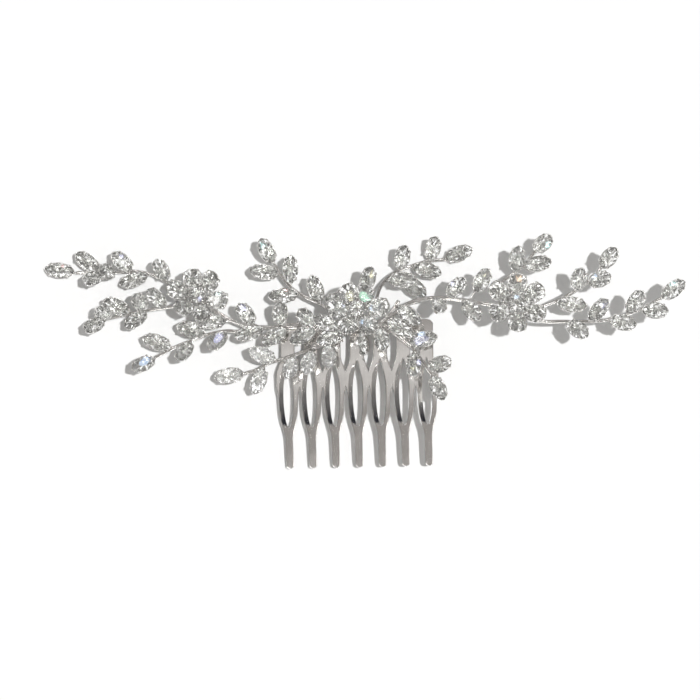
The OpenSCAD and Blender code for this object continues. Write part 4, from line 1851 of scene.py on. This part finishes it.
@dataclass
class LeafSpray:
    """A soldered spray of leaves and its stones.

    Attributes:
        metal_node: node of the soldered metal.
        stones_node: node of the stones.
        stem: the stem with its cups, if there is one.
        painted_glints: stones that get a painted coloured glint.
        painted_glint_gain: how many more of its facets get painted white glints, and
            how much brighter their painted glow is, than on most stones.
    """

    metal_node: str
    stones_node: str
    stem: Stem | None = None
    painted_glints: tuple[PaintedGlint, ...] = ()
    painted_glint_gain: float = 1.0

    def gather(self, metal: Shell, stones: Shell) -> None:
        """Adds the stem with its cups and claws, and the stones in them.

        Args:
            metal: surfaces of the soldered metal.
            stones: surfaces of the stones.
        """
        if self.stem is not None:
            self.stem.add_metal(metal)
            add_stones(stones, LEAF, self.stem.places())

    def build(self, finishes: Finishes, seed: int) -> None:
        """Makes the two pieces.

        Args:
            finishes: the materials.
            seed: seed of the facets' tones.
        """
        metal, stones = Shell(), Shell()
        self.gather(metal, stones)
        piece = metal.piece(f"{self.metal_node}_work", finishes.soldered, smooth=True)
        settle(piece, Slot.WIRE, self.metal_node)
        piece = stones_piece(
            f"{self.stones_node}_cut", stones, finishes.crystal, self.painted_glints, seed,
            self.painted_glint_gain)
        settle(piece, Slot.CRYSTAL, self.stones_node)


@dataclass
class CrystalFlower(LeafSpray):
    """A flower of petals round a raised middle, with or without a short stem.

    Attributes:
        place: the flower's place.
        pitches: pitch of each petal.
    """

    place: FlowerPlace = field(kw_only=True)
    pitches: tuple[float, ...] = field(kw_only=True)

    # Distance of a petal's inner end from the hub's middle
    PETAL_START = 2.25
    CENTRE_LEVEL = 1.35
    HUB_SIDES = 20
    ARM_SIDES = 10
    # Profile of the hub. Columns: radius, level
    HUB = np.array([
        [0.45, -0.90], [0.95, -0.88], [1.15, -0.70], [1.22, -0.20], [1.15, 0.30],
        [0.95, 0.62], [0.60, 0.72], [0.30, 0.74],
    ])
    # An arm from the hub under its petal. Columns: x, z, radius
    ARM = np.array([
        [0.0, -0.30, 0.42], [0.9, -0.24, 0.40], [1.8, -0.12, 0.36], [2.5, 0.0, 0.38],
        [3.05, 0.10, 0.30],
    ])

    def own_turn(self) -> Array:
        """The flower's lean as a matrix."""
        head = self.place.lean_heading
        return (turning(Z, head) @ turning(Y, self.place.lean) @ turning(Z, -head))[0]

    def hub_middle(self) -> Array:
        """Middle of the hub, in the part's frame."""
        return np.array(self.place[:3]) + REST_SHIFT

    def petal_turns(self) -> Array:
        """Turns from the hub to each petal, before its pitch.

        Returns:
            An array of shape (petals, 3, 3).
        """
        petals = len(self.pitches)
        headings = self.place.first_heading + 360.0 / petals * np.arange(petals)
        return self.own_turn() @ turning(Z, headings)

    def petals(self) -> Places:
        """Places of the petals.

        Returns:
            The places.
        """
        turns = self.petal_turns()
        at = turns @ np.array([self.PETAL_START, 0.0, 0.0]) + self.hub_middle()
        return Places(turns @ turning(Y, -np.array(self.pitches)), at)

    def middle(self) -> Places:
        """Place of the round cup in the middle.

        Returns:
            The place.
        """
        own = self.own_turn()
        at = own @ [-CENTRE.length / 2, 0.0, self.CENTRE_LEVEL] + self.hub_middle()
        return Places(own[None], at[None])

    def add_hub(self, shell: Shell) -> None:
        """Adds the hub, a profile turned round, and its arms.

        The hub is r cos(a), r sin(a) and z, with r and z from its profile. An arm is
        a round section carried along its path.

        Args:
            shell: the piece's surfaces.
        """
        centre = self.hub_middle()
        own = Places(self.own_turn()[None], centre[None])
        a = 2 * np.pi * np.arange(self.HUB_SIDES) / self.HUB_SIDES
        radius, level = self.HUB.T[..., None]
        ring = np.stack(np.broadcast_arrays(
            radius * np.cos(a), radius * np.sin(a), level), axis=-1)
        faces = tube_faces(len(self.HUB), self.HUB_SIDES)
        shell.add(own.put(ring.reshape(-1, 3)), faces)
        x, z, size = self.ARM.T
        path = np.stack([x, np.zeros_like(x), z], axis=1)
        side, up = frames(path)
        arm = sweep(path, side, up, size, size, self.ARM_SIDES)[0]
        turns = self.petal_turns()
        places = Places(turns, np.repeat(centre[None], len(turns), axis=0))
        shell.add(places.put(arm), tube_faces(len(x), self.ARM_SIDES))

    def gather(self, metal: Shell, stones: Shell) -> None:
        """Adds the hub, the petals and the middle, and then the stem.

        Args:
            metal: surfaces of the soldered metal.
            stones: surfaces of the stones.
        """
        self.add_hub(metal)
        for setting, places in ((PETAL, self.petals()), (CENTRE, self.middle())):
            add_settings(metal, setting, places)
            add_stones(stones, setting, places)
        super().gather(metal, stones)


# ---- Studio ----


class Glow(NamedTuple):
    """A bright or dark patch of the studio, as the object reflects it.

    Attributes:
        azimuth: direction of its middle.
        elevation: elevation of its middle.
        inner: angle from its middle up to which it is full.
        outer: angle at which it has faded out.
        colour: colour that it adds, or that a shade has.
    """

    azimuth: float
    elevation: float
    inner: float
    outer: float
    colour: Colour


@dataclass(frozen=True)
class Studio:
    """White floor, soft studio surroundings, one key light and the camera.

    Attributes: lengths in metres, the camera's target, lens and sensor in
    millimetres, and angles in degrees. Azimuths are from +X towards +Y. Patches
    brighten the surroundings, and shades darken them. The fill is the even light
    that the floor gets from the surroundings. The levels are how high the horizon,
    low sky and zenith colours stand, as the sine of their elevation.
    """

    floor_size: float = 6.0
    floor_white: Colour = (0.93, 0.93, 0.93)
    floor_roughness: float = 0.9
    fill: Colour = (0.39, 0.386, 0.376)
    key_azimuth: float = -4.0
    key_elevation: float = 73.8
    key_size: float = 2.2
    key_strength: float = 2.3
    camera_target: Point = (-2.895, 1.05, 0.0)
    camera_elevation: float = 84.0
    camera_distance: float = 0.6
    camera_lens: float = 123.43
    camera_sensor: float = 36.0
    camera_range: tuple[float, float] = (0.01, 50.0)
    zenith: Colour = (0.370, 0.352, 0.338)
    low_sky: Colour = (0.375, 0.373, 0.366)
    horizon: Colour = (0.33, 0.33, 0.326)
    levels: tuple[float, float, float] = (0.05, 0.35, 0.90)
    bounces: int = 16
    glossy_bounces: int = 8
    brightest_bounce: float = 12.0
    shades: tuple[Glow, ...] = (
        Glow(31.0, 41.6, 16.6, 21.0, (0.030, 0.030, 0.038)),
        Glow(125.0, 5.0, 22.0, 36.0, (0.09, 0.09, 0.093)),
        Glow(186.0, 12.0, 20.0, 32.0, (0.09, 0.09, 0.095)),
    )
    patches: tuple[Glow, ...] = (
        Glow(136.0, 76.5, 3.0, 10.0, (0.38, 0.38, 0.376)),
        Glow(-28.0, 56.0, 4.5, 7.0, (13.0, 13.0, 13.0)),
        Glow(-66.0, 34.0, 5.0, 8.0, (9.0, 9.1, 9.2)),
        Glow(-98.0, 35.0, 4.0, 7.0, (11.0, 11.0, 10.8)),
        Glow(-140.0, 36.0, 5.0, 8.0, (8.0, 8.0, 8.0)),
        Glow(-128.0, 62.0, 3.5, 6.0, (10.0, 10.0, 10.0)),
        Glow(148.0, 40.0, 4.0, 7.0, (9.0, 9.0, 9.0)),
        Glow(62.0, 37.0, 3.5, 6.0, (11.0, 11.0, 11.0)),
    )

    def floor(self) -> None:
        """Makes the plain white floor."""
        half = self.floor_size / 2
        mesh = bpy.data.meshes.new("floor")
        signs = ((-1, -1), (1, -1), (1, 1), (-1, 1))
        corners = [(x * half, y * half, 0.0) for x, y in signs]
        mesh.from_pydata(corners, [], [(0, 1, 2, 3)])
        made, n, shader = new_material("floor_white")
        n.feed(shader, {
            "Base Color": (*self.floor_white, 1.0),
            "Roughness": self.floor_roughness,
            "Specular IOR Level": 0.0,
        })
        mesh.materials.append(made)
        new_object("floor", mesh)

    def surroundings(self) -> None:
        """Makes the studio that lights and reflects in the object.

        The camera itself sees plain white beyond the floor, and matt surfaces get
        the fill. Reflections and the stones see a grey dome with shades and patches.
        """
        world = bpy.data.worlds.new("studio")
        bpy.context.scene.world = world
        world.use_nodes = True
        world.cycles.sampling_method = "NONE"
        n = Nodes(world.node_tree)
        n.tree.nodes.clear()
        way = n.add("ShaderNodeTexCoord").outputs["Generated"]
        apart = n.add("ShaderNodeSeparateXYZ", {"Vector": way})
        ramp = n.add("ShaderNodeValToRGB", {"Fac": apart.outputs["Z"]})
        low, middle, high = self.levels
        stops = ramp.color_ramp.elements
        stops[0].position, stops[0].color = low, (*self.horizon, 1.0)
        stops[1].position, stops[1].color = high, (*self.zenith, 1.0)
        stops.new(middle).color = (*self.low_sky, 1.0)
        colour = ramp.outputs["Color"]
        for shade in self.shades:
            colour = self.patch(n, way, colour, shade, "MIX")
        for glow in self.patches:
            colour = self.patch(n, way, colour, glow, "ADD")
        path = n.add("ShaderNodeLightPath").outputs
        colour = n.blend(path["Is Diffuse Ray"], colour, self.fill)
        colour = n.blend(path["Is Camera Ray"], colour, (1.0, 1.0, 1.0))
        back = n.add("ShaderNodeBackground", {"Color": colour})
        n.add("ShaderNodeOutputWorld", {"Surface": back.outputs["Background"]})

    def patch(
        self, n: Nodes, way: Socket, colour: Socket, glow: Glow, kind: str
    ) -> Socket:
        """Adds one patch to the studio.

        Args:
            n: the world's nodes.
            way: the direction looked in.
            colour: the studio so far.
            glow: the patch.
            kind: ADD for light, and MIX for a shade.

        Returns:
            The studio with the patch.
        """
        to = direction(glow.azimuth, glow.elevation)
        cosine = n.vector("DOT_PRODUCT", way, tuple(to.tolist()), "Value")
        mask = n.remap(cosine, math.cos(math.radians(glow.outer)),
                       math.cos(math.radians(glow.inner)))
        return n.blend(mask, colour, glow.colour, kind)

    def key(self) -> None:
        """Makes the key light, small enough for shadows with clear edges."""
        light = bpy.data.lights.new("key", "SUN")
        light.energy = self.key_strength
        light.angle = math.radians(self.key_size)
        obj = new_object("key", light)
        obj.rotation_euler = (
            0.0, math.radians(90 - self.key_elevation), math.radians(self.key_azimuth))
        obj.visible_glossy = False
        obj.visible_transmission = False

    def camera(self) -> None:
        """Makes the camera, at the photograph's angle over the floor."""
        data = bpy.data.cameras.new("camera")
        data.lens = self.camera_lens
        data.sensor_width = self.camera_sensor
        data.clip_start, data.clip_end = self.camera_range
        obj = new_object("camera", data)
        tilt = math.radians(90 - self.camera_elevation)
        x, y, z = (v * MM for v in self.camera_target)
        obj.location = (
            x, y - math.sin(tilt) * self.camera_distance,
            z + math.cos(tilt) * self.camera_distance)
        obj.rotation_euler = (tilt, 0.0, 0.0)
        bpy.context.scene.camera = obj

    def exposure(self) -> None:
        """Sets how light becomes picture colours, and how deep light is followed."""
        scene = bpy.context.scene
        scene.view_settings.view_transform = "Standard"
        scene.cycles.max_bounces = self.bounces
        scene.cycles.transmission_bounces = self.bounces
        scene.cycles.glossy_bounces = self.glossy_bounces
        scene.cycles.sample_clamp_indirect = self.brightest_bounce

    def build(self) -> None:
        """Makes the whole studio."""
        self.floor()
        self.surroundings()
        self.key()
        self.camera()
        self.exposure()


# ---- The object ----


@dataclass
class HairComb:
    """The whole hair comb, in the order in which it is put together."""

    finishes: Finishes
    sprays: tuple[LeafSpray, ...] = field(default_factory=lambda: (
        LeafSpray(
            "main_branch", "main_branch_stones",
            Stem(BRANCH_PATH, BRANCH_CUPS, radius=0.62, strands=3, lay=18.0),
            (PaintedGlint(1, Hue.LILAC, 117), PaintedGlint(5, Hue.LILAC, 139),
             PaintedGlint(8, Hue.GOLD, 62))),
        LeafSpray(
            "centre_leaves", "centre_leaves_stones", Stem(CENTRE_PATH, CENTRE_CUPS)),
        LeafSpray(
            "left_upper_spray", "left_upper_stones",
            Stem(LEFT_UPPER_PATH, LEFT_UPPER_CUPS),
            (PaintedGlint(0, Hue.ROSE, 45), PaintedGlint(4, Hue.LILAC, 90))),
        LeafSpray(
            "left_middle_spray", "left_middle_stones",
            Stem(LEFT_MIDDLE_PATH, LEFT_MIDDLE_CUPS)),
        LeafSpray(
            "left_lower_spray", "left_lower_stones",
            Stem(LEFT_LOWER_PATH, LEFT_LOWER_CUPS),
            (PaintedGlint(0, Hue.SKY, 54), PaintedGlint(4, Hue.LILAC, 65, 0.3))),
        LeafSpray(
            "upper_spray", "upper_stones", Stem(UPPER_PATH, UPPER_CUPS),
            (PaintedGlint(0, Hue.AQUA, 130), PaintedGlint(3, Hue.ROSE, 58))),
        # Its stones get more painted white glints and a brighter painted glow, to
        # lighten them where they lie in shade.
        LeafSpray(
            "lower_spray", "lower_stones", Stem(LOWER_PATH, LOWER_CUPS), painted_glint_gain=2.2),
        LeafSpray(
            "right_upper_spray", "right_upper_stones",
            Stem(RIGHT_UPPER_PATH, RIGHT_UPPER_CUPS)),
        LeafSpray(
            "right_top_spray", "right_top_stones",
            Stem(RIGHT_TOP_PATH, RIGHT_TOP_CUPS), (PaintedGlint(0, Hue.AQUA, -24),)),
        LeafSpray(
            "right_middle_spray", "right_middle_stones",
            Stem(RIGHT_MIDDLE_PATH, RIGHT_MIDDLE_CUPS), (PaintedGlint(1, Hue.SKY, 155),)),
        LeafSpray(
            "right_long_spray", "right_long_stones",
            Stem(RIGHT_LONG_PATH, RIGHT_LONG_CUPS),
            (PaintedGlint(5, Hue.AQUA, 93), PaintedGlint(1, Hue.LILAC, 45))),
        LeafSpray(
            "drooping_spray", "drooping_stones", Stem(DROOPING_PATH, DROOPING_CUPS),
            (PaintedGlint(0, Hue.SKY, 114, 0.55), PaintedGlint(0, Hue.LILAC, -159),
             PaintedGlint(1, Hue.GOLD, -102), PaintedGlint(1, Hue.LILAC, 19))),
    ))
    flowers: tuple[CrystalFlower, ...] = field(default_factory=lambda: (
        CrystalFlower(
            "left_flower", "left_flower_stones",
            painted_glints=(PaintedGlint(6, Hue.LILAC, -50), PaintedGlint(0, Hue.AQUA, 82)),
            place=FlowerPlace(-41.8, 13.3, 4.7, -14, 8, 90),
            pitches=(20.0, 40.0, 50.0, 26.0, 38.0, 34.0)),
        CrystalFlower(
            "centre_flower", "centre_flower_stones",
            Stem(CENTRE_FLOWER_PATH, CENTRE_FLOWER_CUPS),
            (PaintedGlint(1, Hue.MINT, -81, 0.7), PaintedGlint(2, Hue.GOLD, -65, 0.2),
             PaintedGlint(3, Hue.LILAC, 22, 0.2), PaintedGlint(0, Hue.SKY, -171, 0.25),
             PaintedGlint(5, Hue.SKY, 150, 0.3), PaintedGlint(8, Hue.GOLD, 42, 0.3)),
            place=FlowerPlace(-2.1, 9.7, 7.8, 2, 6, 90),
            pitches=(22.0, 54.0, 48.0, 28.0, 30.0, 26.0)),
        CrystalFlower(
            "right_flower", "right_flower_stones",
            painted_glints=(PaintedGlint(1, Hue.AMBER, 75), PaintedGlint(6, Hue.SKY, 96)),
            place=FlowerPlace(37.1, 10.9, 8.9, 29, 8, 60),
            pitches=(34.0, 42.0, 24.0, 24.0, 26.0, 26.0)),
    ))

    def build(self) -> None:
        """Makes every piece."""
        comb = CombPlate()
        comb.build(self.finishes)
        BindingTurns(comb).build(self.finishes)
        for seed, part in enumerate(self.sprays + self.flowers):
            part.build(self.finishes, seed)


def main() -> None:
    """Loads the frame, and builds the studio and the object."""
    logging.basicConfig(level=logging.INFO, format="%(name)s: %(message)s")
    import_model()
    Studio().build()
    HairComb(Finishes.make()).build()


if __name__ == "__main__":
    main()
